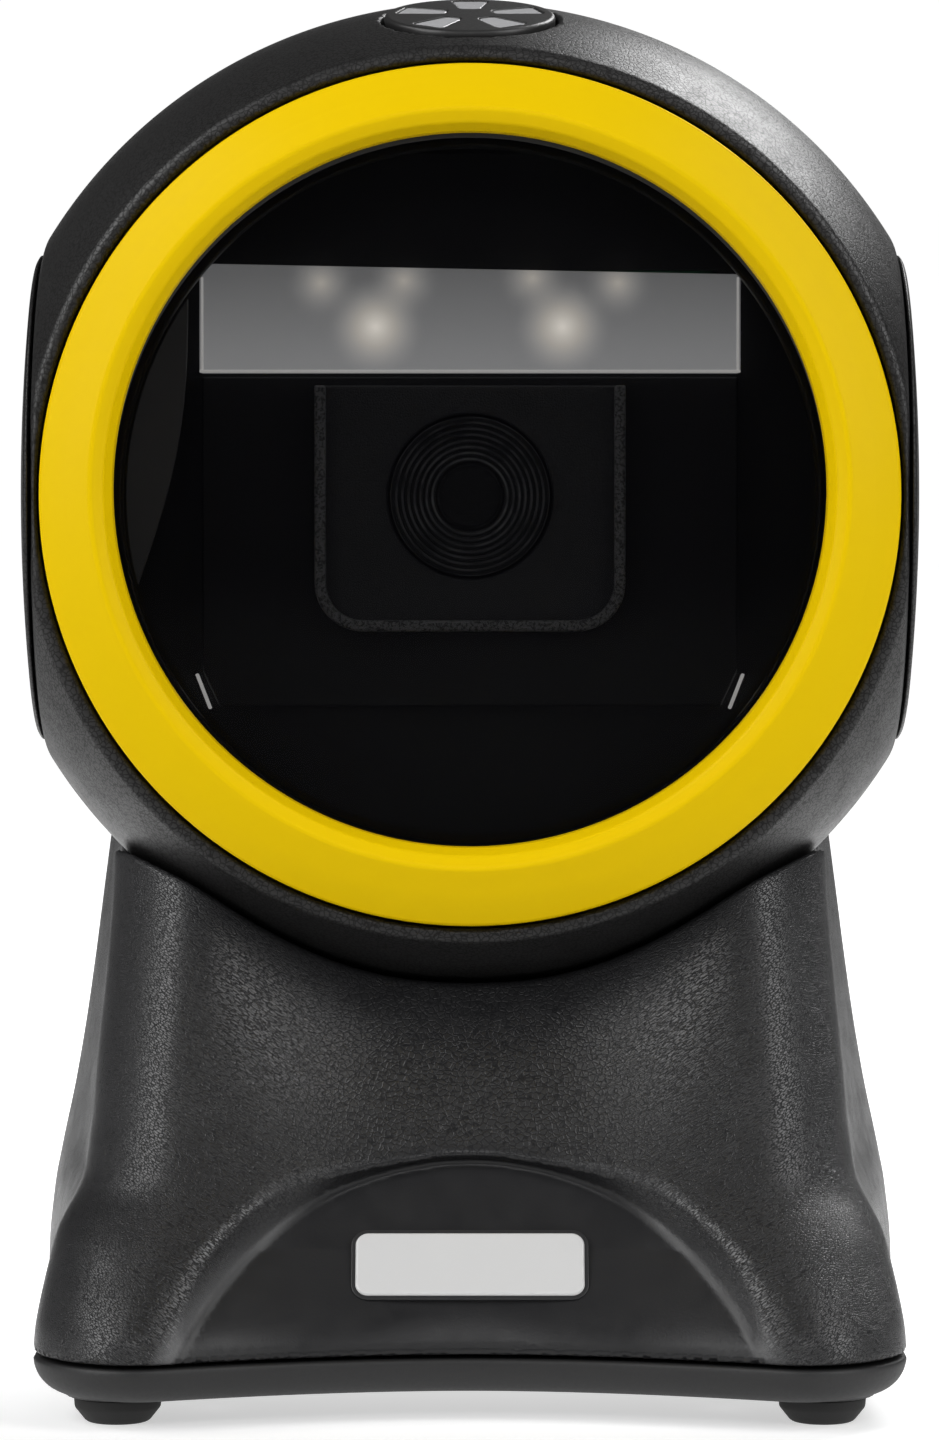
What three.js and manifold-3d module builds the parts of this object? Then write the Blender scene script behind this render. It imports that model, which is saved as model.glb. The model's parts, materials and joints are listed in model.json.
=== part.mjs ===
// Desktop omnidirectional barcode scanner: a round scanning head that tilts in a cup-shaped base.
// Millimetres, +Z up, the scan window faces -Y. The origin is on the table, under the middle of the box.
import * as THREE from "three";
import { mergeVertices } from "three/addons/utils/BufferGeometryUtils.js";
import Module from "manifold-3d";

const wasm = await Module();
wasm.setup();

// ---------------------------------------------------------------- driving dimensions
const GAP = 0.3; // clearance between pieces that only rest on each other
const HEAD_R = 52; // radius of the ball that the head is cut from
const HEAD_Z = 92.5; // height of the tilt axis, which runs along X through the ball's centre
const WALL = 2.4; // moulded wall of both housings and of the base
const INNER_R = HEAD_R - WALL;
const SPLIT_Y = 12; // the front and rear housings part here
const SIDE_X = 44.6; // the ball's sides are cut flat here, under the side caps
const SIDE_CAP_X = 45.4; // the caps' rims
const SIDE_DOME_X = 46.9; // the caps' crowns, the widest points of the scanner
const BACK_Y = 44.5; // the ball's back is cut flat here
const BACK_DOME_Y = 46.6;
const RIM_Y = -25.5; // front edge of the front housing
const RING_R = 43.65; // the coloured ring: outside, ridge and inside
const RING_RIDGE_R = 38.15;
const RING_IN_R = 36.2;
const RING_RIDGE_Y = -29.4;
const LEDGE_Y = -21; // the ring and the window sit against this ledge
const LEDGE_IN_R = 35.5;
const WINDOW_R = 37.8;
const WINDOW_Y = [-23.3, -21.3];
const PANEL_Y = [-15.5, -13.7];
const CARRIER_Y = [-13.2, -11.2];
const CARRIER_R = 44.6;
const BUTTON_TILT = THREE.MathUtils.degToRad(16); // how far forward of the top the button sits
const BUTTON_R = 8.8;
const BUTTON_TOP = HEAD_R - 0.2; // the cap's middle, measured from the ball's centre
const BUTTON_CROWN = 500; // twice the radius of the cap's slight crown
const BUTTON_HOLE_R = 9.15;
const PETALS = 5;
const CUP_R = HEAD_R + 0.7; // the base's cup runs clear of the ball
const RIM_Z = 57.2; // top of the base's side walls
const SEAM_Z = 6.8; // joint between the base's shell and its bottom plate
const PLATE_Z = 2.8; // underside of the plate
const FOOT_R = 4.4;
const FOOT_XY = [35.2, 36.2];
const ARM_LEAN = THREE.MathUtils.degToRad(18); // the tilt arm leans back from vertical
const PIN_R = 2.5;
const PORT = { z: 16, width: 13, height: 10.5 }; // the interface socket's cut-out in the base's back
const BALL_SEGMENTS = 36;
const FINEST = 0.004; // edges shorter than this are merged away
const FAR = 80; // half the side of the boxes that cut the head, well outside it

// ---------------------------------------------------------------- materials
const plastic = (color, roughness) =>
  new THREE.MeshStandardMaterial({ color, roughness, metalness: 0 });
const metal = (color, roughness) =>
  new THREE.MeshStandardMaterial({ color, roughness, metalness: 1 });
const MATERIALS = {
  housing: plastic(0x2c2c2e, 0.55),
  base: plastic(0x303032, 0.6),
  yellow: plastic(0xf2c80c, 0.3),
  window: new THREE.MeshStandardMaterial({
    color: 0x202024,
    roughness: 0.05,
    transparent: true,
    opacity: 0.35,
  }),
  rubber: plastic(0x1c1c1c, 0.9),
  innerBlack: plastic(0x121214, 0.5),
  diffuser: plastic(0xd8d8d4, 0.5),
  lightGuide: plastic(0xe6e6e8, 0.3),
  silver: plastic(0xd9d9da, 0.25),
  board: plastic(0x155235, 0.5),
  steel: metal(0xb8babd, 0.35),
  ballast: metal(0x5a5c60, 0.6),
};

// ---------------------------------------------------------------- solids and placing
function solid(geometry) {
  const g = geometry.clone();
  for (const name of Object.keys(g.attributes)) {
    if (name !== "position") g.deleteAttribute(name);
  }
  const merged = mergeVertices(g, 1e-3);
  return new wasm.Manifold(
    new wasm.Mesh({
      numProp: 3,
      vertProperties: new Float32Array(merged.attributes.position.array),
      triVerts: new Uint32Array(merged.index.array),
    }),
  );
}

function geometryOf(manifold) {
  const m = manifold.simplify(FINEST).getMesh();
  return new THREE.BufferGeometry()
    .setAttribute("position", new THREE.BufferAttribute(new Float32Array(m.vertProperties), 3))
    .setIndex(new THREE.BufferAttribute(new Uint32Array(m.triVerts), 1));
}

const box = (x, y, z) =>
  solid(
    new THREE.BoxGeometry(x[1] - x[0], y[1] - y[0], z[1] - z[0]).translate(
      (x[0] + x[1]) / 2,
      (y[0] + y[1]) / 2,
      (z[0] + z[1]) / 2,
    ),
  );

// A solid of revolution about Z. The profile's points are [radius, z], in either direction.
function turned(profile, segments = 24) {
  const points = profile.map(([r, z]) => new THREE.Vector2(r, z));
  if (THREE.ShapeUtils.area(points) < 0) points.reverse();
  points.push(points[0]);
  return solid(new THREE.LatheGeometry(points, segments).rotateX(Math.PI / 2));
}

const turnedAboutY = (profile, segments) => turned(profile, segments).rotate([90, 0, 0]).mirror([0, 1, 0]);
const turnedAboutX = (profile, segments) => turned(profile, segments).rotate([0, 90, 0]);
const disc = (r, z, segments = 24) =>
  turned([[0, z[0]], [r, z[0]], [r, z[1]], [0, z[1]]], segments);
const discAlongY = (r, y, segments = 24) => disc(r, y, segments).rotate([90, 0, 0]).mirror([0, 1, 0]);
const discAlongX = (r, x, segments = 24) => disc(r, x, segments).rotate([0, 90, 0]);

function extruded(shape, depth, curveSegments = 8) {
  return solid(
    new THREE.ExtrudeGeometry(shape, { depth, bevelEnabled: false, curveSegments }),
  );
}

// A plate in the XZ plane, from y[0] to y[1].
const plateXZ = (shape, y, curveSegments) =>
  extruded(shape, y[1] - y[0], curveSegments).rotate([90, 0, 0]).translate([0, y[1], 0]);

function roundedRect(w, h, r, cx = 0, cy = 0) {
  const s = new THREE.Shape();
  const [x, y] = [w / 2, h / 2];
  s.moveTo(cx - x + r, cy - y);
  s.lineTo(cx + x - r, cy - y);
  s.absarc(cx + x - r, cy - y + r, r, -Math.PI / 2, 0);
  s.lineTo(cx + x, cy + y - r);
  s.absarc(cx + x - r, cy + y - r, r, 0, Math.PI / 2);
  s.lineTo(cx - x + r, cy + y);
  s.absarc(cx - x + r, cy + y - r, r, Math.PI / 2, Math.PI);
  s.lineTo(cx - x, cy - y + r);
  s.absarc(cx - x + r, cy - y + r, r, Math.PI, 1.5 * Math.PI);
  return s;
}

const LEFT_RIGHT = [[-1, "left"], [1, "right"]];
const mirrored = (manifold, side) => (side < 0 ? manifold.mirror([1, 0, 0]) : manifold);

const polygon = (points) => new THREE.Shape(points.map(([x, y]) => new THREE.Vector2(x, y)));

// ---------------------------------------------------------------- the head's ball
const ballRadius = (y, r = HEAD_R) => Math.sqrt(r * r - y * y);

// Points [radius, y] along a ball's profile, from one y to another.
function ballArc(from, to, steps, r = HEAD_R) {
  const [a, b] = [Math.asin(from / r), Math.asin(to / r)];
  return Array.from({ length: steps + 1 }, (_, i) => {
    const t = a + ((b - a) * i) / steps;
    return [r * Math.cos(t), r * Math.sin(t)];
  });
}

// A shallow dome from the rim [radius, height] to its crown on the axis.
function domeArc(rim, crown, steps) {
  return Array.from({ length: steps + 1 }, (_, i) => {
    const t = i / steps;
    return [rim[0] * (1 - t), rim[1] + (crown - rim[1]) * (1 - (1 - t) * (1 - t))];
  });
}

const BOSS_R = 4.2;
const HEAD_SCREW_R = 43.8; // the four screws that join the housings stand on this circle
const headScrewPlaces = [45, 135, 225, 315].map((deg) => {
  const a = THREE.MathUtils.degToRad(deg);
  return [HEAD_SCREW_R * Math.cos(a), HEAD_SCREW_R * Math.sin(a)];
});
const CARRIER_POST_R = 41; // circle of the three posts that hold the optics carrier
const carrierPosts = [49, 131, 270].map((deg) => {
  const a = THREE.MathUtils.degToRad(deg);
  return [CARRIER_POST_R * Math.cos(a), CARRIER_POST_R * Math.sin(a)];
});
const BRACKET_BAR_Y = [6.5, 9.5];
const BRACKET_SCREW_X = 37;
const BRACKET_SCREW_Z = 11;
const MAIN_BOARD_Y = [22, 23.6];
const mainPosts = [[-24, 16], [24, 16]];

// The tilt arm's slot through the bottom of both housings, as a wedge about the tilt axis.
function armSlot() {
  const [from, to] = [-3.5, 40].map((deg) => THREE.MathUtils.degToRad(deg));
  const reach = 60;
  const points = [[0, 0]];
  const steps = 8;
  for (let i = 0; i <= steps; i++) {
    const a = from + ((to - from) * i) / steps;
    points.push([reach * Math.sin(a), -reach * Math.cos(a)]);
  }
  const wedge = extruded(polygon(points), 13.6).translate([0, 0, -6.8]); // in YZ, thick along X
  return wedge.rotate([90, 0, 90]).subtract(solid(new THREE.SphereGeometry(40, 24, 12)));
}

const outOfTop = (manifold) => manifold.rotate([(BUTTON_TILT * 180) / Math.PI, 0, 0]);

function headShell() {
  const outside = turnedAboutY(
    [
      [0, RIM_Y],
      [ballRadius(RIM_Y) - 0.6, RIM_Y],
      ...ballArc(RIM_Y + 0.6, BACK_Y, 12),
      ...domeArc([ballRadius(BACK_Y) - 0.8, BACK_Y + 0.5], BACK_DOME_Y, 2),
    ],
    BALL_SEGMENTS,
  ).intersect(box([-SIDE_X, SIDE_X], [-FAR, FAR], [-FAR, FAR]));
  const cavity = turnedAboutY(
    [
      [0, LEDGE_Y + 2.2],
      ...ballArc(LEDGE_Y + 2.2, BACK_Y - WALL, 8, INNER_R),
      [0, BACK_Y - WALL],
    ],
    28,
  ).intersect(box([-SIDE_X + 2.2, SIDE_X - 2.2], [-FAR, FAR], [-FAR, FAR]));
  const frontOpening = turnedAboutY(
    [
      [0, -60],
      [RING_R + 0.35, -60],
      [RING_R + 0.35, LEDGE_Y],
      [LEDGE_IN_R, LEDGE_Y],
      [LEDGE_IN_R, -10],
      [0, -10],
    ],
    BALL_SEGMENTS,
  );
  let shell = outside.subtract(cavity).subtract(frontOpening);
  for (const [x, z] of headScrewPlaces) {
    const boss = discAlongY(BOSS_R, [2, 34], 12).translate([x, 0, z]);
    shell = shell.add(boss.intersect(outside));
  }
  for (const [x, z] of carrierPosts) {
    shell = shell.add(discAlongY(2.6, [LEDGE_Y + 1.5, CARRIER_Y[0] - GAP], 8).translate([x, 0, z]));
  }
  for (const [x, z] of mainPosts) {
    shell = shell.add(discAlongY(2.4, [MAIN_BOARD_Y[1] + GAP, 41.5], 8).translate([x, 0, z]));
  }
  for (const side of [-1, 1]) {
    const lug = box([34, SIDE_X - 1], [3, 6.2], [6, 16]); // carries one end of the hinge bracket
    shell = shell.add(mirrored(lug, side));
    const post = disc(2, [44.6, 48.6], 8).translate([side * 13, 0, 0]); // carries the switch board
    shell = shell.add(outOfTop(post));
  }
  for (const [x, z] of headScrewPlaces) {
    shell = shell
      .subtract(discAlongY(1.7, [3, 60], 8).translate([x, 0, z]))
      .subtract(discAlongY(2.8, [17.6, 60], 12).translate([x, 0, z]));
  }
  for (const [x, z] of carrierPosts) {
    shell = shell.subtract(discAlongY(1.4, [-19, -10], 6).translate([x, 0, z]));
  }
  for (const [x, z] of mainPosts) {
    shell = shell.subtract(discAlongY(1.4, [20, 32], 6).translate([x, 0, z]));
  }
  for (const side of [-1, 1]) {
    const [x, z] = [side * BRACKET_SCREW_X, BRACKET_SCREW_Z];
    shell = shell.subtract(discAlongY(1.4, [0, 8], 6).translate([x, 0, z]));
    shell = shell.subtract(mirrored(discAlongX(8.5, [38, 50], 16), side));
  }
  shell = shell.subtract(armSlot());
  return shell.subtract(outOfTop(disc(BUTTON_HOLE_R, [46, 60], 24)));
}

const VENTS = 5;
function ventSlots() {
  let slots;
  for (let i = 0; i < VENTS; i++) {
    const width = 26 - 5 * Math.abs(i - 2); // the middle slot is the widest
    const slot = plateXZ(roundedRect(width, 1.8, 0.85, 0, (i - 2) * 5), [38, 50], 2);
    slots = slots ? slots.add(slot) : slot;
  }
  return slots;
}

const shell = headShell();
const frontHousing = shell.intersect(box([-FAR, FAR], [-FAR, SPLIT_Y], [-FAR, FAR]));
const rearHousing = shell
  .intersect(box([-FAR, FAR], [SPLIT_Y + GAP, FAR], [-FAR, FAR]))
  .subtract(ventSlots());

function sideCap() {
  return turnedAboutX(
    [
      [0, SIDE_X - 1],
      [6.2, SIDE_X - 1],
      [6.2, SIDE_X - 2.6],
      [8.1, SIDE_X - 2.6],
      [8.1, SIDE_X + GAP],
      [ballRadius(SIDE_X + GAP) - 0.2, SIDE_X + GAP],
      ...domeArc([ballRadius(SIDE_CAP_X) - 0.2, SIDE_CAP_X], SIDE_DOME_X, 3),
    ],
    24,
  );
}

// ---------------------------------------------------------------- ring, gasket and window
function bezelRing() {
  return turnedAboutY(
    [
      [WINDOW_R + 0.6, LEDGE_Y - GAP],
      [RING_R, LEDGE_Y - GAP],
      [RING_R, -26],
      [RING_R - 0.25, -26.6],
      [RING_R - 0.8, -26.95],
      [RING_RIDGE_R + 2.6, -28.9],
      [RING_RIDGE_R, RING_RIDGE_Y],
      [RING_IN_R + 0.9, -28.9],
      [RING_IN_R + 0.1, -27.6],
      [RING_IN_R, -27],
      [RING_IN_R, -24.4],
      [WINDOW_R + 0.6, -24.4],
    ],
    40,
  );
}

const windowGasket = () =>
  turnedAboutY([[35.6, -24.1], [WINDOW_R, -24.1], [WINDOW_R, -23.6], [35.6, -23.6]], 32);
const scanWindow = () => discAlongY(WINDOW_R, WINDOW_Y, 36);

// ---------------------------------------------------------------- optics behind the window
const DIFFUSER = { halfWidth: 27.8, z: [12.7, 23.9], y: [-17, -14.2] };
const PANEL = { halfWidth: 27.6, z: [-21.6, 12.3] };
const SHROUD = { halfWidth: 16, z: [-13.9, 11.4] };
const BARREL_R = 8.25;

const lightDiffuser = () =>
  box([-DIFFUSER.halfWidth, DIFFUSER.halfWidth], DIFFUSER.y, DIFFUSER.z);

// The outline of the engine's cover: square at the top, well rounded at the bottom.
function shroudShape(inset) {
  const w = SHROUD.halfWidth - inset;
  const [low, high] = [SHROUD.z[0] + inset, SHROUD.z[1] - inset];
  const r = 5 - inset * 0.6;
  const s = new THREE.Shape();
  s.moveTo(w, high);
  s.lineTo(-w, high);
  s.lineTo(-w, low + r);
  s.absarc(-w + r, low + r, r, Math.PI, 1.5 * Math.PI);
  s.lineTo(w - r, low);
  s.absarc(w - r, low + r, r, -Math.PI / 2, 0);
  return s;
}

function opticsPanel() {
  const { halfWidth: w, z } = PANEL;
  const [cutX, cutZ] = [w - 1.7, z[0] + 3.6]; // the lower corners are cut off
  const outline = polygon([[-w, z[1]], [-w, cutZ], [-cutX, z[0]], [cutX, z[0]], [w, cutZ], [w, z[1]]]);
  return plateXZ(outline, PANEL_Y).subtract(plateXZ(shroudShape(-GAP), [-30, 0]));
}

function engineShroud() {
  return plateXZ(shroudShape(0), [-17.6, PANEL_Y[1]])
    .subtract(plateXZ(shroudShape(1), [-30, -16.6]))
    .subtract(discAlongY(BARREL_R + 2 * GAP, [-30, 0], 20));
}

// The lens barrel is a funnel of concentric steps that ends in a small aperture.
function lensBarrel() {
  const steps = 5;
  const [front, back] = [-16.9, -10.6];
  const apertureR = 1.1;
  const dr = (BARREL_R - 0.45 - apertureR) / steps;
  const dy = (back - 0.8 - front) / steps;
  const inside = [];
  for (let i = 0; i < steps; i++) {
    const r = BARREL_R - 0.45 - dr * i;
    inside.push([r, front + dy * i], [r, front + dy * (i + 1)]);
  }
  inside.push([apertureR, front + dy * steps], [apertureR, back]);
  return turnedAboutY([[BARREL_R, back], [BARREL_R, front], ...inside], 20);
}

const lens = () =>
  turnedAboutY([[0, -10.3], [2.2, -10.3], [2.6, -10.1], [2.6, -9.2], [0, -9.2]], 12);
const imageSensor = () => box([-3.6, 3.6], [-8.9, -7.8], [-3.2, 3.2]);
const sensorBoard = () => box([-11, 11], [-7.5, -6.3], [-10, 9]);

// Six light emitters stand on their board: two large ones below, four small ones above.
const EMITTERS = [
  [-10.8, 18, 1.6],
  [9.2, 18, 1.6],
  [-15.3, 22.2, 0.9],
  [-7.6, 22.2, 0.9],
  [6.2, 22.2, 0.9],
  [14, 22.2, 0.9],
];
function ledBoard() {
  let board = box([-25, 25], [-9.4, -8.2], [13.2, 24]);
  for (const [x, z, half] of EMITTERS) {
    board = board.add(box([x - half, x + half], [-10.4, -9], [z - half, z + half]));
  }
  return board;
}

function opticsCarrier() {
  let plate = discAlongY(CARRIER_R, CARRIER_Y, 28)
    .intersect(box([-41.2, 41.2], [-20, 0], [-60, 35.4]))
    .subtract(box([-12, 12], [-20, 0], [-10.5, 10]))
    .subtract(box([-25.6, 25.6], [-20, 0], [13.4, 23.4]));
  for (const [x, z] of carrierPosts) {
    plate = plate.subtract(discAlongY(1.5, [-20, 0], 12).translate([x, 0, z]));
  }
  return plate;
}

function panelClip(side) {
  const { halfWidth: w, z } = PANEL;
  const [top, foot] = [[-w - 0.5, z[0] + 3.3], [-w + 1.1, z[0] - 0.2]];
  const clip = plateXZ(
    polygon([top, foot, [foot[0] - 0.4, foot[1] - 0.1], [top[0] - 0.4, top[1] - 0.1]]),
    [PANEL_Y[0] - 1, PANEL_Y[1]],
  );
  return mirrored(clip, -side); // it is drawn at the left
}

// ---------------------------------------------------------------- screws
// A pan-head screw along +Z: its head rests on z = 0, its shank runs down, and its top has a recess.
function screw(headR, shankR, length) {
  const headH = headR * 0.62;
  return turned(
    [
      [0, -length],
      [shankR * 0.7, -length],
      [shankR, -length + shankR],
      [shankR, 0],
      [headR, 0],
      [headR * 0.75, headH],
      [headR * 0.35, headH],
      [0, headH * 0.4],
    ],
    10,
  );
}
const facingBack = (m) => m.rotate([-90, 0, 0]);
const facingFront = (m) => m.rotate([90, 0, 0]);
const facingDown = (m) => m.rotate([180, 0, 0]);

// ---------------------------------------------------------------- tilt hinge
const CHEEK_X = [7.3, 10.3];
const EYE_HALF = 6;
const EYE_R = 5;

function hingeBracket() {
  const side = polygon([[-4.6, -4.6], [4.6, -4.6], [9.5, 6], [9.5, 16], [6.5, 16], [6.5, 8], [-4.6, 4.6]]);
  let bracket = box([-40, 40], BRACKET_BAR_Y, [6, 16]);
  for (const x0 of [CHEEK_X[0], -CHEEK_X[1]]) {
    bracket = bracket.add(
      extruded(side, CHEEK_X[1] - CHEEK_X[0]).rotate([90, 0, 90]).translate([x0, 0, 0]),
    );
  }
  for (const x of [-BRACKET_SCREW_X, BRACKET_SCREW_X]) {
    bracket = bracket.subtract(discAlongY(1.5, [0, 12], 10).translate([x, 0, BRACKET_SCREW_Z]));
  }
  return bracket.subtract(discAlongX(PIN_R + 0.35, [-20, 20], 16));
}

const pivotPin = () =>
  turnedAboutX(
    [
      [0, -12.6],
      [4.2, -12.6],
      [4.5, -12.2],
      [4.5, -10.7],
      [PIN_R, -10.7],
      [PIN_R, 15],
      [PIN_R - 0.5, 15.5],
      [0, 15.5],
    ],
    16,
  );

const frictionWasher = () => turnedAboutX([[2.9, 6.3], [6, 6.3], [6, 7], [2.9, 7]], 14);

function lockNut() {
  const hexagon = new THREE.Shape();
  for (let i = 0; i < 6; i++) {
    const a = (i * Math.PI) / 3;
    hexagon[i ? "lineTo" : "moveTo"](4.4 * Math.cos(a), 4.4 * Math.sin(a));
  }
  const nut = extruded(hexagon, 3.2).rotate([90, 0, 90]).translate([10.7, 0, 0]);
  return nut.subtract(discAlongX(PIN_R + 0.3, [0, 30], 16));
}

// The arm stands in the base and leans back, so that its slot stays behind the head's lowest point.
const ARM_FOOT_Z = [12.4, 15.4];
const ARM_FOOT_Y = [3, 30.4];
const armScrewPlaces = [[-9, 9], [9, 9]];
const ARM_LENGTH = 88;
function tiltArm() {
  const lean = [(ARM_LEAN * 180) / Math.PI, 0, 0];
  const stem = box([-6, 6], [-4, 4], [-ARM_LENGTH, 0]).rotate(lean);
  const groove = box([-2.6, 2.6], [0.6, 8], [-ARM_LENGTH - 5, -13]).rotate(lean); // for the harness
  const upright = stem
    .intersect(box([-20, 20], [-50, 50], [ARM_FOOT_Z[0] - HEAD_Z, 20]))
    .add(discAlongX(EYE_R, [-EYE_HALF, EYE_HALF], 20))
    .translate([0, 0, HEAD_Z]);
  let arm = upright.add(box([-13, 13], ARM_FOOT_Y, ARM_FOOT_Z));
  for (const [x, y] of armScrewPlaces) {
    arm = arm.subtract(disc(1.7, [0, 30], 8).translate([x, y, 0]));
  }
  return arm
    .subtract(groove.translate([0, 0, HEAD_Z]))
    .subtract(discAlongX(PIN_R + 0.35, [-20, 20], 16).translate([0, 0, HEAD_Z]));
}

// ---------------------------------------------------------------- top button
const petalAngle = (i) => Math.PI / 2 + (i * 2 * Math.PI) / PETALS;

// One petal-shaped light window, pointing along +X from the button's centre.
function petalShape(grow) {
  const [r0, r1, half] = [2.5 - grow, 7.6 + grow, 1.7 + grow];
  const s = new THREE.Shape();
  s.moveTo(r0 + 0.7, -half * 0.62);
  s.lineTo(r1 - 1.5, -half);
  s.quadraticCurveTo(r1, -half * 0.9, r1, 0);
  s.quadraticCurveTo(r1, half * 0.9, r1 - 1.5, half);
  s.lineTo(r0 + 0.7, half * 0.62);
  s.quadraticCurveTo(r0, half * 0.5, r0, 0);
  s.quadraticCurveTo(r0, -half * 0.5, r0 + 0.7, -half * 0.62);
  return s;
}

function petals(grow, z) {
  let all;
  for (let i = 0; i < PETALS; i++) {
    const petal = extruded(petalShape(grow), z[1] - z[0], 2)
      .translate([0, 0, z[0]])
      .rotate([0, 0, (petalAngle(i) * 180) / Math.PI]);
    all = all ? all.add(petal) : petal;
  }
  return all;
}

const topOf = (r) => BUTTON_TOP - (r * r) / BUTTON_CROWN; // the button's slightly crowned top
function topButton() {
  const top = [0, 0.5, 1].map((t) => {
    const r = (BUTTON_R - 0.3) * (1 - t);
    return [r, topOf(r)];
  });
  const rim = topOf(BUTTON_R) - 0.3;
  let cap = turned(
    [[0, 49.4], [BUTTON_R - 1.4, 49.4], [BUTTON_R - 1.4, 49], [BUTTON_R, 49], [BUTTON_R, rim], ...top],
    24,
  );
  for (const [side] of LEFT_RIGHT) {
    const leg = box([7.4, 8.6], [-3, 3], [47, 49.6]).add(box([8, 10], [-3, 3], [47, 48]));
    cap = cap.add(mirrored(leg, side)); // a snap leg that keeps the cap in its hole
  }
  return cap.subtract(petals(0.15, [40, 60]));
}

function lightGuide() {
  const crown = [BUTTON_R, BUTTON_R / 2, 0].map((r) => [r, topOf(r) - 0.12]);
  const dome = turned([[0, 40], [BUTTON_R, 40], ...crown], 24);
  return petals(0, [48.5, 60])
    .intersect(dome)
    .add(disc(BUTTON_R - 1.8, [48, 49.1], 24))
    .add(disc(1.5, [46.5, 48.2], 12));
}

const switchBoard = () =>
  box([-15.5, 15.5], [-5.5, 5.5], [43, 44.2])
    .subtract(disc(1.2, [40, 50], 10).translate([-13, 0, 0]))
    .subtract(disc(1.2, [40, 50], 10).translate([13, 0, 0]));
const tactSwitch = () => box([-3, 3], [-3, 3], [44.4, 45]).add(disc(1.7, [44.8, 45.5], 12));

// ---------------------------------------------------------------- base
// Outline of the base at one height. Half-widths are at the front and rear pillars, and y values are
// the front pillars, the front's middle, the rear pillars and the rear's middle.
const SECTIONS = [
  { z: 6.8, front: 43.8, rear: 46.9, yPillar: -46.9, yFront: -38.3, yRear: 46.9, yBack: 45.8 },
  { z: 9.5, front: 43.6, rear: 46.9, yPillar: -46.2, yFront: -37.6, yRear: 46.9, yBack: 45.6 },
  { z: 12, front: 43.2, rear: 46.8, yPillar: -44.6, yFront: -36.7, yRear: 46.9, yBack: 45.3 },
  { z: 15, front: 42.6, rear: 46.5, yPillar: -42.1, yFront: -35.2, yRear: 46.7, yBack: 44.9 },
  { z: 18, front: 41.9, rear: 46, yPillar: -39.3, yFront: -33.6, yRear: 46.4, yBack: 44.5 },
  { z: 20, front: 41, rear: 45.6, yPillar: -37.3, yFront: -32.5, yRear: 46.1, yBack: 44.2 },
  { z: 22, front: 39.9, rear: 45.2, yPillar: -35.4, yFront: -31.3, yRear: 45.9, yBack: 43.9 },
  { z: 27, front: 39, rear: 44.1, yPillar: -32.3, yFront: -27.9, yRear: 45.3, yBack: 43.2 },
  { z: 34, front: 38.5, rear: 42.8, yPillar: -29.2, yFront: -22.9, yRear: 44.4, yBack: 42.4 },
  { z: 42.6, front: 37.8, rear: 41.5, yPillar: -25.4, yFront: -16.6, yRear: 43.4, yBack: 41.8 },
  { z: 50, front: 37.3, rear: 40.5, yPillar: -22.1, yFront: -13, yRear: 42.6, yBack: 41.4 },
  { z: RIM_Z, front: 37.2, rear: 39.5, yPillar: -18.8, yFront: -10, yRear: 41.8, yBack: 41 },
];

// The front's half outline at the table and above the toes. Each point is [share of the half-width,
// share of the way forward from the middle to the pillars, distance back from the pillars' front].
const TOE_FRONT = [
  [0.34, 0.24, 0],
  [0.56, 0.58, 0],
  [0.75, 0.98, 0],
  [0.86, 1, 1.3],
  [0.945, 1, 7],
  [1, 1, 17],
];
const PILLAR_FRONT = [
  [0.3, 0.17, 0],
  [0.5, 0.56, 0],
  [0.66, 0.87, 0],
  [0.8, 1, 0.2],
  [0.94, 1, 2],
  [1, 1, 8],
];

// The closed plan curve of one section, moved inwards by inset, as [x, y] points.
function planCurve(s, inset, count) {
  const f = s.front - inset;
  const r = s.rear - inset;
  const w = THREE.MathUtils.smoothstep(s.z, 10, 23);
  const front = TOE_FRONT.map((toe, i) => {
    const [u, forward, back] = toe.map((v, k) => THREE.MathUtils.lerp(v, PILLAR_FRONT[i][k], w));
    return [u * f, s.yFront + forward * (s.yPillar - s.yFront) + back + inset];
  });
  const half = [
    [0, s.yFront + inset],
    ...front,
    [(f + r) / 2 - 1.2, 4],
    [r, s.yRear - inset - 14],
    [0.97 * r, s.yRear - inset - 5],
    [0.87 * r, s.yRear - inset - 0.7],
    [0.7 * r, s.yRear - inset],
    [0.35 * r, s.yBack - inset],
    [0, s.yBack - inset],
  ];
  const left = half.slice(1, -1).reverse().map(([x, y]) => [-x, y]);
  const curve = new THREE.CatmullRomCurve3(
    [...half, ...left].map(([x, y]) => new THREE.Vector3(x, y, 0)),
    true,
    "centripetal",
  );
  return curve.getSpacedPoints(count).slice(0, count).map((p) => [p.x, p.y]);
}

// A closed skin through rings of equally many points, with flat ends. Each ring winds anticlockwise.
function loft(rings) {
  const n = rings[0].length;
  const position = rings.flat(2);
  const index = [];
  for (let k = 0; k + 1 < rings.length; k++) {
    for (let i = 0; i < n; i++) {
      const [a, b] = [k * n + i, k * n + ((i + 1) % n)];
      index.push(a, b, b + n, a, b + n, a + n);
    }
  }
  const centre = (ring) => [0, 1, 2].map((c) => ring.reduce((sum, p) => sum + p[c], 0) / n);
  const [low, high] = [rings.length * n, rings.length * n + 1];
  position.push(...centre(rings[0]), ...centre(rings.at(-1)));
  const top = (rings.length - 1) * n;
  for (let i = 0; i < n; i++) {
    const j = (i + 1) % n;
    index.push(low, j, i, high, top + i, top + j);
  }
  const g = new THREE.BufferGeometry();
  g.setAttribute("position", new THREE.Float32BufferAttribute(position, 3));
  g.setIndex(index);
  return solid(g);
}

const SECTION_POINTS = 52;
const ringAt = (s, inset, z = s.z) => planCurve(s, inset, SECTION_POINTS).map(([x, y]) => [x, y, z]);

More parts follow.
